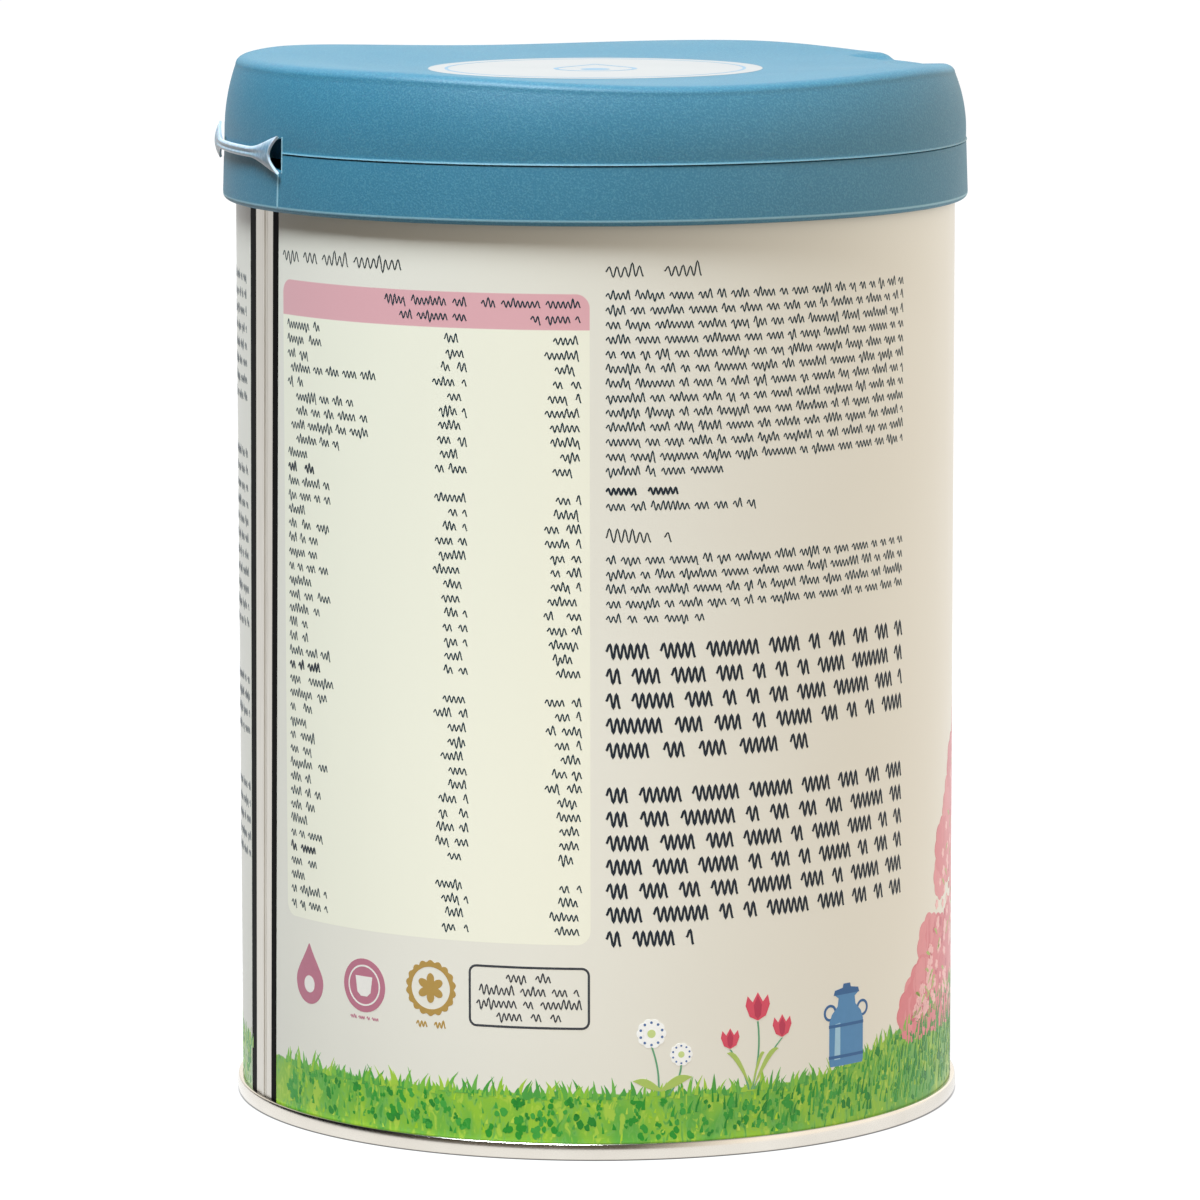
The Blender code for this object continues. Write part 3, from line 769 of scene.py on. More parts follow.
grass_blades = blank_sheet()
sheet_left = SEAM_AT + STRIPE_RIGHT + 1.5
sheet_right = sheet_left + 2 * SHEET_HALF - STRIPE_LEFT - STRIPE_RIGHT - 3.5
along = sheet_left + 0.3
while along < sheet_right:
    height = pick((1.0, 1.4, 1.8, 2.2, 2.6, 3.4))
    foot = meadow_top(along) - between(0.5, 1.4)
    lean = height * between(-0.45, 0.55)
    blade(grass_blades, along, foot, height, lean, between(0.5, 1.1), pick(BLADE_GREENS), pick(LOW_LEVELS))
    along += between(0.22, 0.62)
for clump in range(420):
    along = between(sheet_left + 1.0, sheet_right - 1.0)
    up = between(PRINT_FOOT + 1.2, meadow_top(along) - 1.4)
    clover(grass_blades, along, up, between(0.7, 1.6), pick(DARK_GREENS))
for touch in range(900):
    along = between(sheet_left + 0.6, sheet_right - 0.6)
    up = between(PRINT_FOOT + 0.3, meadow_top(along) - 1.0)
    greens = pick((YELLOW_GREENS, BLADE_GREENS, BLADE_GREENS, DARK_GREENS))
    height, lean, width = between(0.5, 1.5), between(-0.4, 0.5), between(0.3, 0.7)
    blade(grass_blades, along, up, height, lean, width, pick(greens), pick(LOW_LEVELS))
for stroke in range(520):
    along = STROKES_AT + tuft_draw.gauss(0, STROKES_SPREAD)
    if not sheet_left + 1 < along < sheet_right - 1:
        continue
    up = between(PRINT_FOOT + 0.8, meadow_top(along) - 1.6)
    height, lean, width = between(1.4, 3.2), between(-0.1, 1.0), between(0.35, 0.7)
    ink = pick(DARK_GREENS + BLADE_GREENS[:2])
    blade(grass_blades, along, up, height, lean, width, ink, pick((0.026, 0.03, 0.034)))
roll_up("print_grass_blades", grass_blades, solid_ink, cut=False)

# Painted plants and a milk churn: small plain motifs in the wash style, standing in the meadow:
# pink tulips, white marguerites, a blue churn and a big pink blossom bush on the hill.
STEM, LEAF, TULIP, TULIP_DARK = "#5E9C72", "#A8BF5E", "#D6495F", "#B93350"
CHURN, CHURN_LIGHT, CHURN_DARK = "#4F86B5", "#9CC3D8", "#2F6093"
BLOSSOM, BLOSSOM_LIGHT, BLOSSOM_DEEP = "#DB7F86", "#F0B9B8", "#C9626F"


def sized(shape, along, foot, size):
    """A shape's points at its place and size on the sheet."""
    return [(along + size * x, foot + size * y) for x, y in shape]


def stem(flat, foot, head, bend, width=0.32, ink=STEM):
    """A stem from foot to head, bent sideways in its middle."""
    lefts, rights = [], []
    for step in range(9):
        share = step / 8
        at = foot[0] + (head[0] - foot[0]) * share + bend * 4 * share * (1 - share)
        up = foot[1] + (head[1] - foot[1]) * share
        lefts.append((at - width / 2, up))
        rights.append((at + width / 2, up))
    lay_ribbon(flat, lefts, rights, ink, 0.032)


def tulip(flat, along, up, size):
    """A tulip head: a cup with three points, and a darker middle petal."""
    cup = [(-0.75, 0.75), (-0.9, 0.1), (-0.6, -0.65), (0, -0.95), (0.6, -0.65), (0.9, 0.1), (0.75, 0.75),
           (0.38, 0.3), (0, 0.95), (-0.38, 0.3)]
    lay(flat, sized(cup, along, up, size), TULIP, 0.04)
    petal = [(-0.3, 0.1), (-0.22, -0.6), (0, -0.85), (0.22, -0.6), (0.3, 0.1), (0, 0.7)]
    lay(flat, sized(petal, along, up, size), TULIP_DARK, 0.05)


def leaf_shape(flat, along, up, reach, rise, width, ink=LEAF):
    """A pointed leaf from its stalk out to its tip."""
    lefts, rights = [], []
    for step in range(9):
        share = step / 8
        half = width / 2 * math.sin(math.pi * min(1, 0.04 + share * 0.96)) + 0.02
        at = along + reach * share
        level = up + rise * math.sin(share * math.pi / 2)
        lefts.append((at, level + half))
        rights.append((at, level - half))
    lay_ribbon(flat, lefts, rights, ink, 0.036)


def marguerite(flat, along, up, size):
    """A white daisy with separate petals, a blue-grey ring of dots and a pale green eye."""
    for petal in range(10):
        turn = 2 * math.pi * petal / 10
        at = (along + 0.62 * size * math.cos(turn), up + 0.62 * size * math.sin(turn))
        lay(flat, round_outline(*at, 0.34 * size, 14), "#F6F5F2", 0.04)
    lay(flat, round_outline(along, up, 0.5 * size, 20), "#F6F5F2", 0.044)
    for dot in range(10):
        turn = 2 * math.pi * (dot + 0.5) / 10
        at = (along + 0.72 * size * math.cos(turn), up + 0.72 * size * math.sin(turn))
        lay(flat, round_outline(*at, 0.09 * size, 8), "#4F6FA0", 0.05)
    lay(flat, round_outline(along, up, 0.27 * size, 16), "#C5D58A", 0.052)


def churn(flat, along, foot, size):
    """A milk churn: round shoulders, a narrow neck, a lid, two bands and two handles."""
    half = [(1.0, 0), (1.05, 0.2), (1.05, 2.0), (0.9, 2.35), (0.55, 2.7), (0.5, 3.05), (0.72, 3.2)]
    body = half + [(-x, y) for x, y in reversed(half)]
    lay(flat, sized(body, along, foot, size), CHURN, 0.04)
    lid = [(-0.8, 3.2), (0.8, 3.2), (0.72, 3.42), (0.25, 3.5), (0.2, 3.68)]
    lid += [(-0.2, 3.68), (-0.25, 3.5), (-0.72, 3.42)]
    lay(flat, sized(lid, along, foot, size), CHURN_DARK, 0.045)
    shine = [(-0.75, 0.3), (-0.4, 0.3), (-0.4, 1.95), (-0.7, 1.9)]
    lay(flat, sized(shine, along, foot, size), CHURN_LIGHT, 0.05)
    for band in (0.35, 1.75):
        reach, up = 1.07 * size, foot + band * size
        lay(flat, box_outline(along - reach, along + reach, up, up + 0.14 * size, 0.05), CHURN_DARK, 0.055)
    for side in (-1, 1):
        at = (along + side * size, foot + 2.45 * size)
        outer, inner = (round_outline(*at, radius * size, 20) for radius in (0.38, 0.26))
        lay_band(flat, outer, inner, CHURN_DARK, 0.035)


plants = blank_sheet()
for foot, head, bend, size in ((27.4, (28.6, 25.4), 0.7, 2.6), (27.8, (33.4, 21.6), -0.7, 2.1),
                               (26.9, (23.4, 20.2), 0.5, 1.9)):
    stem(plants, (foot, 11.0), (head[0], head[1] - size), bend)
    tulip(plants, *head, size)
for at, reach in ((27.2, -4.4), (27.9, 4.8), (27.5, 2.4)):
    leaf_shape(plants, at, 11.6, reach, 5.2 + 0.2 * abs(reach), 1.5)
for foot, head, size in ((10.6, (9.4, 21.8), 2.7), (12.4, (14.6, 18.0), 2.1)):
    stem(plants, (foot, 11.0), (head[0], head[1] - 0.8 * size), 0.5)
    marguerite(plants, *head, size)
leaf_shape(plants, 10.9, 11.8, 5.6, 2.2, 1.7)
leaf_shape(plants, 11.2, 11.8, -5.0, 1.8, 1.5)
churn(plants, 47.6, 13.0, 3.9)
roll_up("print_meadow_motifs", plants, solid_ink)

# The blossom bush: overlapping round clouds of pink wash, with pale and deep blossoms and some leaves
BUSH_AT, BUSH_HALF, BUSH_FOOT, BUSH_RISE = 103.0, 36.0, 16.0, 50.0
bush = blank_sheet()
bush_draw = random.Random(5)
for cloud in range(19):
    outline = rosette_outline(BUSH_AT + BUSH_HALF * (cloud / 9 - 1), BUSH_FOOT + 3.0, 5.4, 9, 0.10, 54)
    lay(bush, outline, BLOSSOM, 0.016 + 0.0001 * cloud)
for cloud in range(110):
    share = bush_draw.uniform(-1, 1)
    crest = math.cos(share * math.pi / 2) ** 1.3
    radius = bush_draw.uniform(3.6, 6.6)
    up = BUSH_FOOT + radius * 0.6 + bush_draw.random() ** 0.6 * BUSH_RISE * crest
    tone = bush_draw.choice((BLOSSOM, BLOSSOM, "#E08D92", "#D6747D"))
    outline = rosette_outline(BUSH_AT + BUSH_HALF * share, up, radius, 9, 0.10, 54)
    lay(bush, outline, tone, 0.018 + 0.00012 * cloud)
for blossom in range(420):
    share = bush_draw.uniform(-1, 1)
    crest = math.cos(share * math.pi / 2) ** 1.3
    at = (BUSH_AT + BUSH_HALF * share, BUSH_FOOT + 2 + bush_draw.random() * BUSH_RISE * crest)
    kind = bush_draw.random()
    if kind < 0.5:
        lay(bush, rosette_outline(*at, bush_draw.uniform(0.7, 1.2), 5, 0.35, 30), BLOSSOM_LIGHT, 0.036)
    elif kind < 0.75:
        lay(bush, round_outline(*at, bush_draw.uniform(0.5, 0.9), 12), BLOSSOM_DEEP, 0.036)
    else:
        leaf_shape(bush, *at, bush_draw.choice((-1.9, 1.9)), bush_draw.uniform(0.6, 1.6), 0.7)
roll_up("print_blossom_bush", bush, solid_ink)

# The far side's motif: a blue ring with a churn in it, over a pink banner
far_motif = blank_sheet()
rings = [round_outline(SHEET_HALF, 96.0, radius, 120) for radius in (26.0, 24.8, 23.2)]
lay_band(far_motif, rings[0], rings[1], CHURN)
lay(far_motif, rings[2], "#D9E6E6", 0.015)
churn(far_motif, SHEET_HALF, 78.5, 9.6)
lay(far_motif, box_outline(SHEET_HALF - 28, SHEET_HALF + 28, 48.5, 55.5, 2.0), "#DDA8AD")
for spot in range(7):
    lay(far_motif, drop_outline(SHEET_HALF - 21 + 7 * spot, 51.6, 1.1), PAPER, OVERPRINT)
for offset, up, size in ((-38, 24.0, 3.0), (-31, 19.5, 2.4), (34, 22.0, 2.8)):
    stem(far_motif, (SHEET_HALF + offset + 1, 11.0), (SHEET_HALF + offset, up - 0.8 * size), 0.5)
    marguerite(far_motif, SHEET_HALF + offset, up, size)
for offset, up, size in ((-22, 22.0, 2.4), (24, 25.0, 2.6), (42, 19.0, 2.0)):
    stem(far_motif, (SHEET_HALF + offset - 1, 11.0), (SHEET_HALF + offset, up - size), 0.6)
    tulip(far_motif, SHEET_HALF + offset, up, size)
    leaf_shape(far_motif, SHEET_HALF + offset - 1, 11.6, 4.6, 5.0, 1.5)
roll_up("print_far_motif", far_motif, solid_ink)

# Lid collar: the skirt of the moulded lid, snapped over the tin's mouth and standing clear of the wall
# lower down, so that it throws a shadow on the print. A fine raised line runs down beside each window.
COLLAR_BOTTOM = 160.0 * MM
COLLAR_TOP = 170.06 * MM
COLLAR_FOOT_RADIUS = 65.75 * MM
COLLAR_TOP_RADIUS = 65.45 * MM
SKIRT_INNER = 64.5 * MM
SKIRT_CLIP = 166.0 * MM
SNAP_INNER = WALL_RADIUS + 0.25 * MM
EDGE_BREAK = 0.25 * MM
HINGE_ANGLE = 180.0
HINGE_HALF_ANGLE = 17.8
HINGE_WAIST_ANGLE = 8.5
WINDOW_START_ANGLE = 9.5
WINDOW_START_HALF = 0.6 * MM
WINDOW_END_HALF = 3.0 * MM
WITNESS_ANGLE = 16.9
WITNESS_WIDTH = 0.42 * MM
LIP_ANGLE = 17.95
WINDOW_LIP_WIDTH = 0.26 * MM
LID_BOTTOM = 170.2 * MM
SPLIT_LEVEL = 170.0 * MM

# Lid plastic: polypropylene moulded in a spark-eroded steel mould, so satin with a fine even grain that
# breaks highlights into sparkle, with pale flecks on the grain as painted sparkle; thin edges are painted
# paler as a painted highlight, and it has a few rubs and specks of dust.
GRAIN = 0.36 * MM
COLOUR_DRIFT = 16.67 * MM
DUST_SPACING = 3.03 * MM
RUB = 22.22 * MM
lid_plastic, tree, here = surface("moulded_polypropylene_blue")
cloud = add(tree, "TexNoise", {"Vector": here, "Scale": 1 / COLOUR_DRIFT, "Detail": 4.0})
blue = over(tree, "#2F6D86", "#35748D", (cloud, "Fac"))
grain = add(tree, "TexNoise", {"Vector": here, "Scale": 1 / GRAIN, "Detail": 3.0, "Roughness": 0.6})
# Painted sparkle: the grain's crests get a paler blue that stands in for its glints
sparkle_fleck_span = {"From Min": 0.46, "From Max": 0.66, "To Max": 0.36}
painted_sparkle_flecks = add(tree, "MapRange", {"Value": (grain, "Fac"), **sparkle_fleck_span})
with_painted_sparkle = over(tree, blue, "#5C98A8", painted_sparkle_flecks)
specks = add(tree, "TexVoronoi", {"Vector": here, "Scale": 1 / DUST_SPACING}, feature="F1")
speck_here = add(tree, "MapRange", {"Value": (specks, "Distance"), "From Min": 0.055, "From Max": 0.035})
speck_few = add(tree, "SeparateColor", {0: (specks, "Color")})
speck_pick = add(tree, "MapRange", {"Value": speck_few, "From Min": 0.93, "From Max": 0.95, "To Max": 0.5})
speck = add(tree, "Math", {0: speck_here, 1: speck_pick}, operation="MULTIPLY")
dusty = over(tree, with_painted_sparkle, "#71A2AC", speck)
# Painted highlight: the marked thin edges are painted pale blue for the light they catch and let through
painted_edge_light = add(tree, "Attribute", attribute_name="painted_edge_highlight")
edge_highlight_share = add(tree, "MapRange", {"Value": (painted_edge_light, "Fac"), "To Max": 0.75})
with_edge_highlight = over(tree, dusty, "#A0CAD6", edge_highlight_share)
relief = add(tree, "Bump", {"Height": (grain, "Fac"), "Strength": 0.9, "Distance": 0.07 * MM})
rubs = add(tree, "TexNoise", {"Vector": here, "Scale": 1 / RUB, "Detail": 5.0})
dullness = add(tree, "MapRange", {"Value": (rubs, "Fac"), "To Min": 0.46, "To Max": 0.56})
glow_through = {"Subsurface Weight": 0.05, "Subsurface Scale": 1.0 * MM}
plastic = {"Base Color": with_edge_highlight, "Roughness": dullness, "Normal": relief, "IOR": 1.49, **glow_through}
add(tree, "OutputMaterial", {"Surface": add(tree, "BsdfPrincipled", plastic)})


def mark_painted_highlight(item, near, share=1.0):
    """Marks a piece's thin moulded edges wherever near says so, for the painted highlight that paints them
    paler.
    """
    painted_edge_highlight = item.data.attributes.new("painted_edge_highlight", "FLOAT", "POINT")
    for vert in item.data.vertices:
        x, y, z = vert.co
        painted_edge_highlight.data[vert.index].value = share if near(math.hypot(x, y), z) else 0.0


def on_lid(radius, angle_deg, z):
    """A point at an angle from the hinge, which lies at -X."""
    angle = math.radians(HINGE_ANGLE + angle_deg)
    return (radius * math.cos(angle), radius * math.sin(angle), z)


def window_guide():
    """Solid that opens the two windows in the lid behind the hinge strap's flared ends."""
    guide = bmesh.new()
    steps = 8
    for side in (-1, 1):
        sections = []
        for step in range(steps + 1):
            share = step / steps
            angle = side * (WINDOW_START_ANGLE + (HINGE_HALF_ANGLE - WINDOW_START_ANGLE) * share)
            half = WINDOW_START_HALF + (WINDOW_END_HALF - WINDOW_START_HALF) * share
            skin, deep = 65.0 * MM, WINDOW_END_HALF + EDGE_BREAK
            corners = [(62.4 * MM, -deep), (skin, -deep), (skin, -half), (68.5 * MM, -half)]
            corners += [(r, -up) for r, up in reversed(corners)]
            sections.append([guide.verts.new(on_lid(r, angle, SPLIT_LEVEL + up)) for r, up in corners])
        for first, second in zip(sections, sections[1:]):
            for corner in range(8):
                after = (corner + 1) % 8
                guide.faces.new((first[corner], first[after], second[after], second[corner]))
        guide.faces.new(sections[0])
        guide.faces.new(reversed(sections[-1]))
    bmesh.ops.recalc_face_normals(guide, faces=guide.faces)
    return built("window_guide", guide)


def open_windows(item):
    """Cuts the hinge windows out of a piece and removes the guide."""
    guide = window_guide()
    cut = item.modifiers.new("hinge_windows", "BOOLEAN")
    cut.operation = "DIFFERENCE"
    cut.solver = "EXACT"
    cut.object = guide
    take(item)
    bpy.ops.object.modifier_apply(modifier=cut.name)
    bpy.data.objects.remove(guide, do_unlink=True)


foot_inner = SKIRT_INNER + EDGE_BREAK
foot_round = COLLAR_FOOT_RADIUS - foot_inner
collar_profile = [
    (SNAP_INNER, COLLAR_TOP),
    (SNAP_INNER, SKIRT_CLIP),
    (SKIRT_INNER, SKIRT_CLIP - (SKIRT_INNER - SNAP_INNER)),
    (SKIRT_INNER, COLLAR_BOTTOM + EDGE_BREAK),
    (foot_inner, COLLAR_BOTTOM),
]
collar_profile += arc(foot_inner, COLLAR_BOTTOM + foot_round, foot_round, -90, 0, 8)[1:]
collar_profile.append((COLLAR_FOOT_RADIUS, COLLAR_BOTTOM + foot_round + 0.15 * MM))
collar_profile += arc(COLLAR_TOP_RADIUS - EDGE_BREAK, COLLAR_TOP - EDGE_BREAK, EDGE_BREAK, 0, 90, 4)
collar = turned("lid_collar_skirt", collar_profile, closed=True)
open_windows(collar)
foot_edge = COLLAR_BOTTOM + foot_round
# The collar's foot edge is marked for the painted highlight
mark_painted_highlight(collar, lambda radius, z: radius > foot_inner and abs(z - foot_edge + 0.15 * MM) < 0.2 * MM, 0.8)
finish(collar, lid_plastic)
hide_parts("lid_collar")

WINDOW_FOOT, WINDOW_TOP = SPLIT_LEVEL - WINDOW_END_HALF, SPLIT_LEVEL + WINDOW_END_HALF
LINE_LAP, LINE_HEIGHT, LINE_SUNK, LINE_ROUND = 0.1 * MM, 0.30 * MM, 0.04 * MM, 0.07 * MM
RAISED_LINES = {
    "witness_line_near": (WITNESS_ANGLE, foot_edge, WINDOW_FOOT + LINE_LAP, WITNESS_WIDTH),
    "witness_line_far": (-WITNESS_ANGLE, foot_edge, WINDOW_FOOT + LINE_LAP, WITNESS_WIDTH),
    "window_lip_near": (LIP_ANGLE, WINDOW_FOOT - LINE_LAP, WINDOW_TOP + LINE_LAP, WINDOW_LIP_WIDTH),
    "window_lip_far": (-LIP_ANGLE, WINDOW_FOOT - LINE_LAP, WINDOW_TOP + LINE_LAP, WINDOW_LIP_WIDTH),
}
for name, (angle, foot_level, top_level, width) in RAISED_LINES.items():
    bpy.ops.object.select_all(action="DESELECT")
    bpy.ops.mesh.primitive_cube_add(size=1, location=(0, 0, 0))
    raised_line = bpy.context.object
    raised_line.name = raised_line.data.name = name
    raised_line.scale = (LINE_HEIGHT, width, 1.0)
    bpy.ops.object.transform_apply(location=False, rotation=False, scale=True)
    bpy.ops.object.mode_set(mode="EDIT")
    bpy.ops.mesh.select_all(action="SELECT")
    bpy.ops.mesh.bevel(offset=LINE_ROUND, segments=2)
    bpy.ops.object.mode_set(mode="OBJECT")
    turn = math.radians(HINGE_ANGLE + angle)
    for vert in raised_line.data.vertices:
        level = top_level if vert.co.z > 0 else foot_level
        slope = min(1.0, (level - foot_edge) / (COLLAR_TOP - foot_edge))
        skin = COLLAR_FOOT_RADIUS + (COLLAR_TOP_RADIUS - COLLAR_FOOT_RADIUS) * slope
        radius = skin - LINE_SUNK + vert.co.x
        across = vert.co.y
        vert.co = (
            radius * math.cos(turn) - across * math.sin(turn),
            radius * math.sin(turn) + across * math.cos(turn),
            level,
        )
    # Painted highlight: the raised lines are painted pale all over
    mark_painted_highlight(raised_line, lambda radius, z: True)
    finish(raised_line, lid_plastic)

# Flip lid: the top of the same moulding, hinged to the collar at its back. Its side draws in to a
# rounded rim that rises and dips as it goes round, and a thumb ledge is sunk in its front.
LID_RADIUS = 65.4 * MM
PLUG_RADIUS = 63.2 * MM
FLASH_REACH = 0.18 * MM
CROWN_START = 172.0 * MM
CROWN_END = 183.3 * MM
CROWN_INSET = 2.3 * MM
SHOULDER_LEVEL = 182.5 * MM
RIM_RADIUS = 61.2 * MM
RIM_NOMINAL = 184.0 * MM
DISC_LEVEL = 182.5 * MM
DISC_RADIUS = 31.0 * MM
RIM_CREST, RIM_CREST_END = 185.1 * MM, 35.0
RIM_DIP, RIM_DIP_AT = 183.2 * MM, 90.0
RIM_SHOULDER, RIM_SHOULDER_AT = 184.2 * MM, 135.0
RIM_FRONT, RIM_FRONT_AT = 183.2 * MM, 165.0
LEDGE_DROP = 1.1 * MM
LEDGE_HALF_ANGLE, LEDGE_END_ANGLE = 12.5, 15.9
LEDGE_INNER, LEDGE_SLOPE = 52.5 * MM, 2.5 * MM
LIP_REACH, LIP_HALF_ANGLE, LIP_HEIGHT = 1.0 * MM, 13.0, 3.6 * MM


def crown_radius(z):
    """Radius of the lid's side, which draws in towards the top."""
    climb = max(0.0, z - CROWN_START) / (CROWN_END - CROWN_START)
    return LID_RADIUS - CROWN_INSET * climb * climb


def rim_height(angle):
    """Height of the wavy rim at an angle from the hinge: crest, dip, shoulder, dip."""
    rise = RIM_CREST + (RIM_DIP - RIM_CREST) * ease(angle, RIM_CREST_END, RIM_DIP_AT)
    rise += (RIM_SHOULDER - RIM_DIP) * ease(angle, RIM_DIP_AT, RIM_SHOULDER_AT)
    return rise + (RIM_FRONT - RIM_SHOULDER) * ease(angle, RIM_SHOULDER_AT, RIM_FRONT_AT)


def ledge(radius, angle):
    """How far the thumb ledge sinks the rim at this place."""
    across = 1 - ease(180 - angle, LEDGE_HALF_ANGLE, LEDGE_END_ANGLE)
    return LEDGE_DROP * across * ease(radius, LEDGE_INNER, LEDGE_INNER + LEDGE_SLOPE)


lid_profile = [(0, LID_BOTTOM - 1.4 * MM), (PLUG_RADIUS, LID_BOTTOM - 1.4 * MM), (PLUG_RADIUS, LID_BOTTOM)]
lid_profile += [
    (LID_RADIUS + FLASH_REACH - 0.04 * MM, LID_BOTTOM),
    (LID_RADIUS + FLASH_REACH, LID_BOTTOM + 0.05 * MM),
    (LID_RADIUS + FLASH_REACH - 0.04 * MM, LID_BOTTOM + 0.16 * MM),
    (LID_RADIUS + 0.02 * MM, LID_BOTTOM + 0.36 * MM),
    (LID_RADIUS, LID_BOTTOM + 0.46 * MM),
]
level = LID_BOTTOM + 0.9 * MM
while level < SHOULDER_LEVEL - 0.1 * MM:
    lid_profile.append((crown_radius(level), level))
    level += 0.6 * MM
shoulder_radius = crown_radius(SHOULDER_LEVEL)
for step in range(11):
    turn = math.pi / 2 * step / 10
    lid_profile.append((
        RIM_RADIUS + (shoulder_radius - RIM_RADIUS) * math.cos(turn),
        SHOULDER_LEVEL + (RIM_NOMINAL - SHOULDER_LEVEL) * math.sin(turn),
    ))
ring = RIM_RADIUS - 0.9 * MM
while ring > DISC_RADIUS:
    lid_profile.append((ring, DISC_LEVEL))
    ring -= 0.9 * MM
lid_profile += [(DISC_RADIUS, DISC_LEVEL), (15 * MM, DISC_LEVEL), (0, DISC_LEVEL)]
lid = turned("flip_lid_shell", lid_profile)

# The rim's waves, the ledge and the lip are bent into the turned shape point by point
for vert in lid.data.vertices:
    x, y, z = vert.co
    radius = math.hypot(x, y)
    angle = abs(math.degrees(math.atan2(y, -x)))
    if z < LID_BOTTOM + EDGE_BREAK / 2 and radius < LID_RADIUS - 2 * EDGE_BREAK:
        continue
    if z < CROWN_START + 2 * MM:
        near_front = 1 - ease(180 - angle, LIP_HALF_ANGLE / 2, LIP_HALF_ANGLE)
        reach = LIP_REACH * near_front * (1 - ease(z, LID_BOTTOM + LIP_HEIGHT / 3, LID_BOTTOM + LIP_HEIGHT))
        vert.co.x += reach * x / radius
        vert.co.y += reach * y / radius
    if radius > RIM_RADIUS - EDGE_BREAK:
        rim = rim_height(angle) - ledge(radius, angle)
        climb = max(0.0, z - CROWN_START) / (RIM_NOMINAL - CROWN_START)
        vert.co.z = z + (rim - RIM_NOMINAL) * climb
    else:
        rise = (rim_height(angle) - DISC_LEVEL) * ease(radius, DISC_RADIUS, RIM_RADIUS)
        vert.co.z = DISC_LEVEL + rise - ledge(radius, angle)
open_windows(lid)
# The lid's bead at the split is marked for a half-strength painted highlight
mark_painted_highlight(lid, lambda radius, z: radius > LID_RADIUS + 0.01 * MM and z < LID_BOTTOM + 0.3 * MM, 0.5)
finish(lid, lid_plastic)
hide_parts("flip_lid")

# Lid disc: a round white patch printed on the middle of the lid, with a plain blue ring and drop.
PATCH_RADIUS, PATCH_BLUE = 29.5, "#4C86A6"


def on_disc(x, y, level):
    """The place on the lid's flat disc of a point of print that reads upright from the hinge's side."""
    turn = math.radians(90 + VIEW_ANGLE)
    x, y, z = x * MM, y * MM, level * MM
    return x * math.cos(turn) - y * math.sin(turn), x * math.sin(turn) + y * math.cos(turn), DISC_LEVEL + z


pad_ink = ink_surface("pad_print_on_plastic")
patch = blank_sheet()
# The white patch is painted a mid grey, painted shade that holds it down under the strong light on the
# lid's top
lay(patch, round_outline(0, 0, PATCH_RADIUS, 160), "#9A9D9F", 0.03)
lay_band(patch, round_outline(0, 0, 26.6, 160), round_outline(0, 0, 26.0, 160), PATCH_BLUE, 0.045)
lay_band(patch, drop_outline(0, -1.5, 7.4, 72), drop_outline(0, -1.5, 6.5, 72), PATCH_BLUE, 0.045)
lay(patch, round_outline(0, -3.2, 2.6, 48), PATCH_BLUE, 0.045)
press_on("lid_white_patch", patch, on_disc, pad_ink)

# Hinge strap: a thin bow-tie of the same plastic that bridges the split at the back. Bending has
# whitened it, most along its edges and its flared ends, and two ridges run along its narrow waist.
WAIST_HALF_HEIGHT = 0.95 * MM
FLARE_HALF_HEIGHT = 3.3 * MM
STRAP_EDGE_RADIUS = 66.4 * MM
WAIST_RADIUS = 66.6 * MM
FLARE_RADIUS = 67.4 * MM
STRAP_THICKNESS = 0.45 * MM
STRAP_END_HOLLOW = 1.6
RIDGE_HEIGHT = 0.14 * MM
STRAP_STATIONS, STRAP_ROWS = 160, 24
STRESS_STREAK = 0.7143 * MM

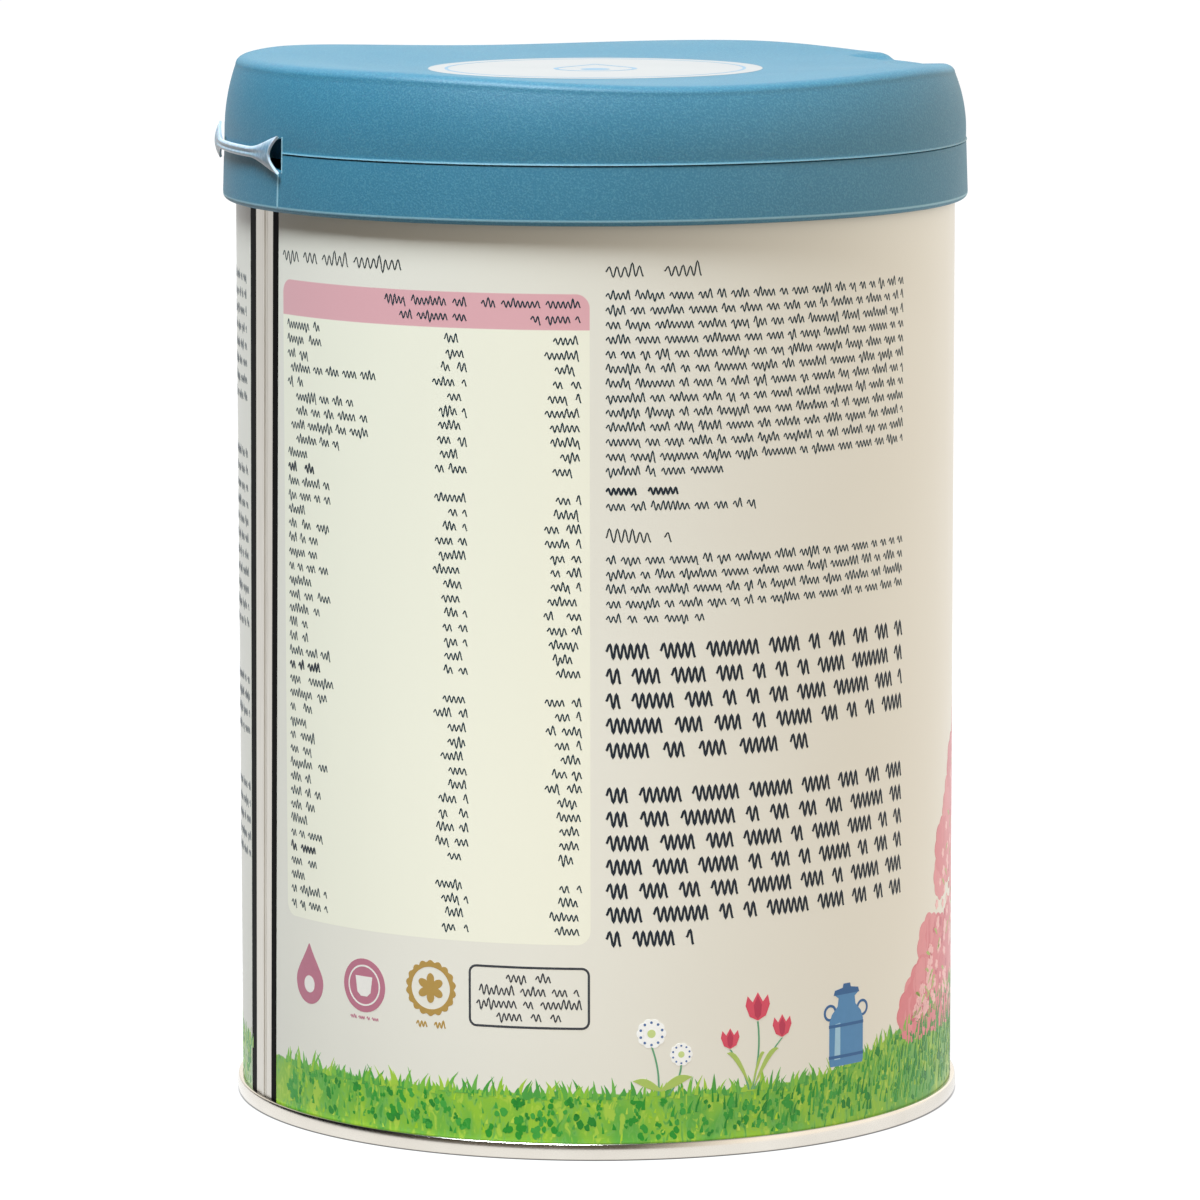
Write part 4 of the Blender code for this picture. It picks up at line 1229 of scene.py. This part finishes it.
strap_plastic, tree, here = surface("stress_whitened_polypropylene")
strain = add(tree, "Attribute", attribute_name="strain")
streaks = add(tree, "TexNoise", {"Vector": here, "Scale": 1 / STRESS_STREAK, "Detail": 3.0})
spread = add(tree, "Math", {0: (strain, "Fac"), 1: (streaks, "Fac")}, operation="ADD")
whitened = add(tree, "MapRange", {"Value": spread, "From Min": 0.55, "From Max": 1.45})
milky = over(tree, "#64879C", "#BFCFDA", whitened)
relief = add(tree, "Bump", {"Height": (streaks, "Fac"), "Strength": 0.3, "Distance": 0.03 * MM})
glow_through = {"Subsurface Weight": 0.15, "Subsurface Scale": 0.8 * MM}
waxy = {"Base Color": milky, "Normal": relief, "Roughness": 0.33, "IOR": 1.49, **glow_through}
add(tree, "OutputMaterial", {"Surface": add(tree, "BsdfPrincipled", waxy)})

bpy.ops.object.select_all(action="DESELECT")
bpy.ops.mesh.primitive_grid_add(x_subdivisions=STRAP_STATIONS, y_subdivisions=STRAP_ROWS, size=2)
strap = bpy.context.object
strap.name = strap.data.name = "hinge_bow_strap"
strains = strap.data.attributes.new("strain", "FLOAT", "POINT")
flare_end = HINGE_HALF_ANGLE + HINGE_WAIST_ANGLE / 2
full_flare = ease(HINGE_HALF_ANGLE, HINGE_WAIST_ANGLE, flare_end)
for vert in strap.data.vertices:
    along, across, _ = vert.co
    bow = 1 - across * across
    angle = along * (HINGE_HALF_ANGLE - STRAP_END_HOLLOW * bow * abs(along) ** 8)
    flare = ease(abs(angle), HINGE_WAIST_ANGLE, flare_end) / full_flare
    half = WAIST_HALF_HEIGHT + (FLARE_HALF_HEIGHT - WAIST_HALF_HEIGHT) * flare
    middle = WAIST_RADIUS + (FLARE_RADIUS - WAIST_RADIUS) * flare
    radius = STRAP_EDGE_RADIUS + (middle - STRAP_EDGE_RADIUS) * bow
    ridges = RIDGE_HEIGHT * math.cos(2 * math.pi * across) * (1 - min(1.0, 1.4 * flare))
    strains.data[vert.index].value = min(1.0, abs(across) ** 5 + abs(along) ** 40 + 0.35 * (1 - flare))
    vert.co = on_lid(radius - ridges, -angle, SPLIT_LEVEL + half * across)
bpy.context.view_layer.objects.active = strap
bpy.ops.object.mode_set(mode="EDIT")
bpy.ops.mesh.select_all(action="SELECT")
bpy.ops.mesh.normals_make_consistent(inside=False)
bpy.ops.object.mode_set(mode="OBJECT")
outwards = strap.data.polygons[len(strap.data.polygons) // 2]
if outwards.normal.x > 0:
    strap.data.flip_normals()
thick = strap.modifiers.new("thickness", "SOLIDIFY")
thick.thickness = STRAP_THICKNESS
thick.offset = -1
bpy.ops.object.modifier_apply(modifier=thick.name)
finish(strap, strap_plastic)
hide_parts("hinge_strap")
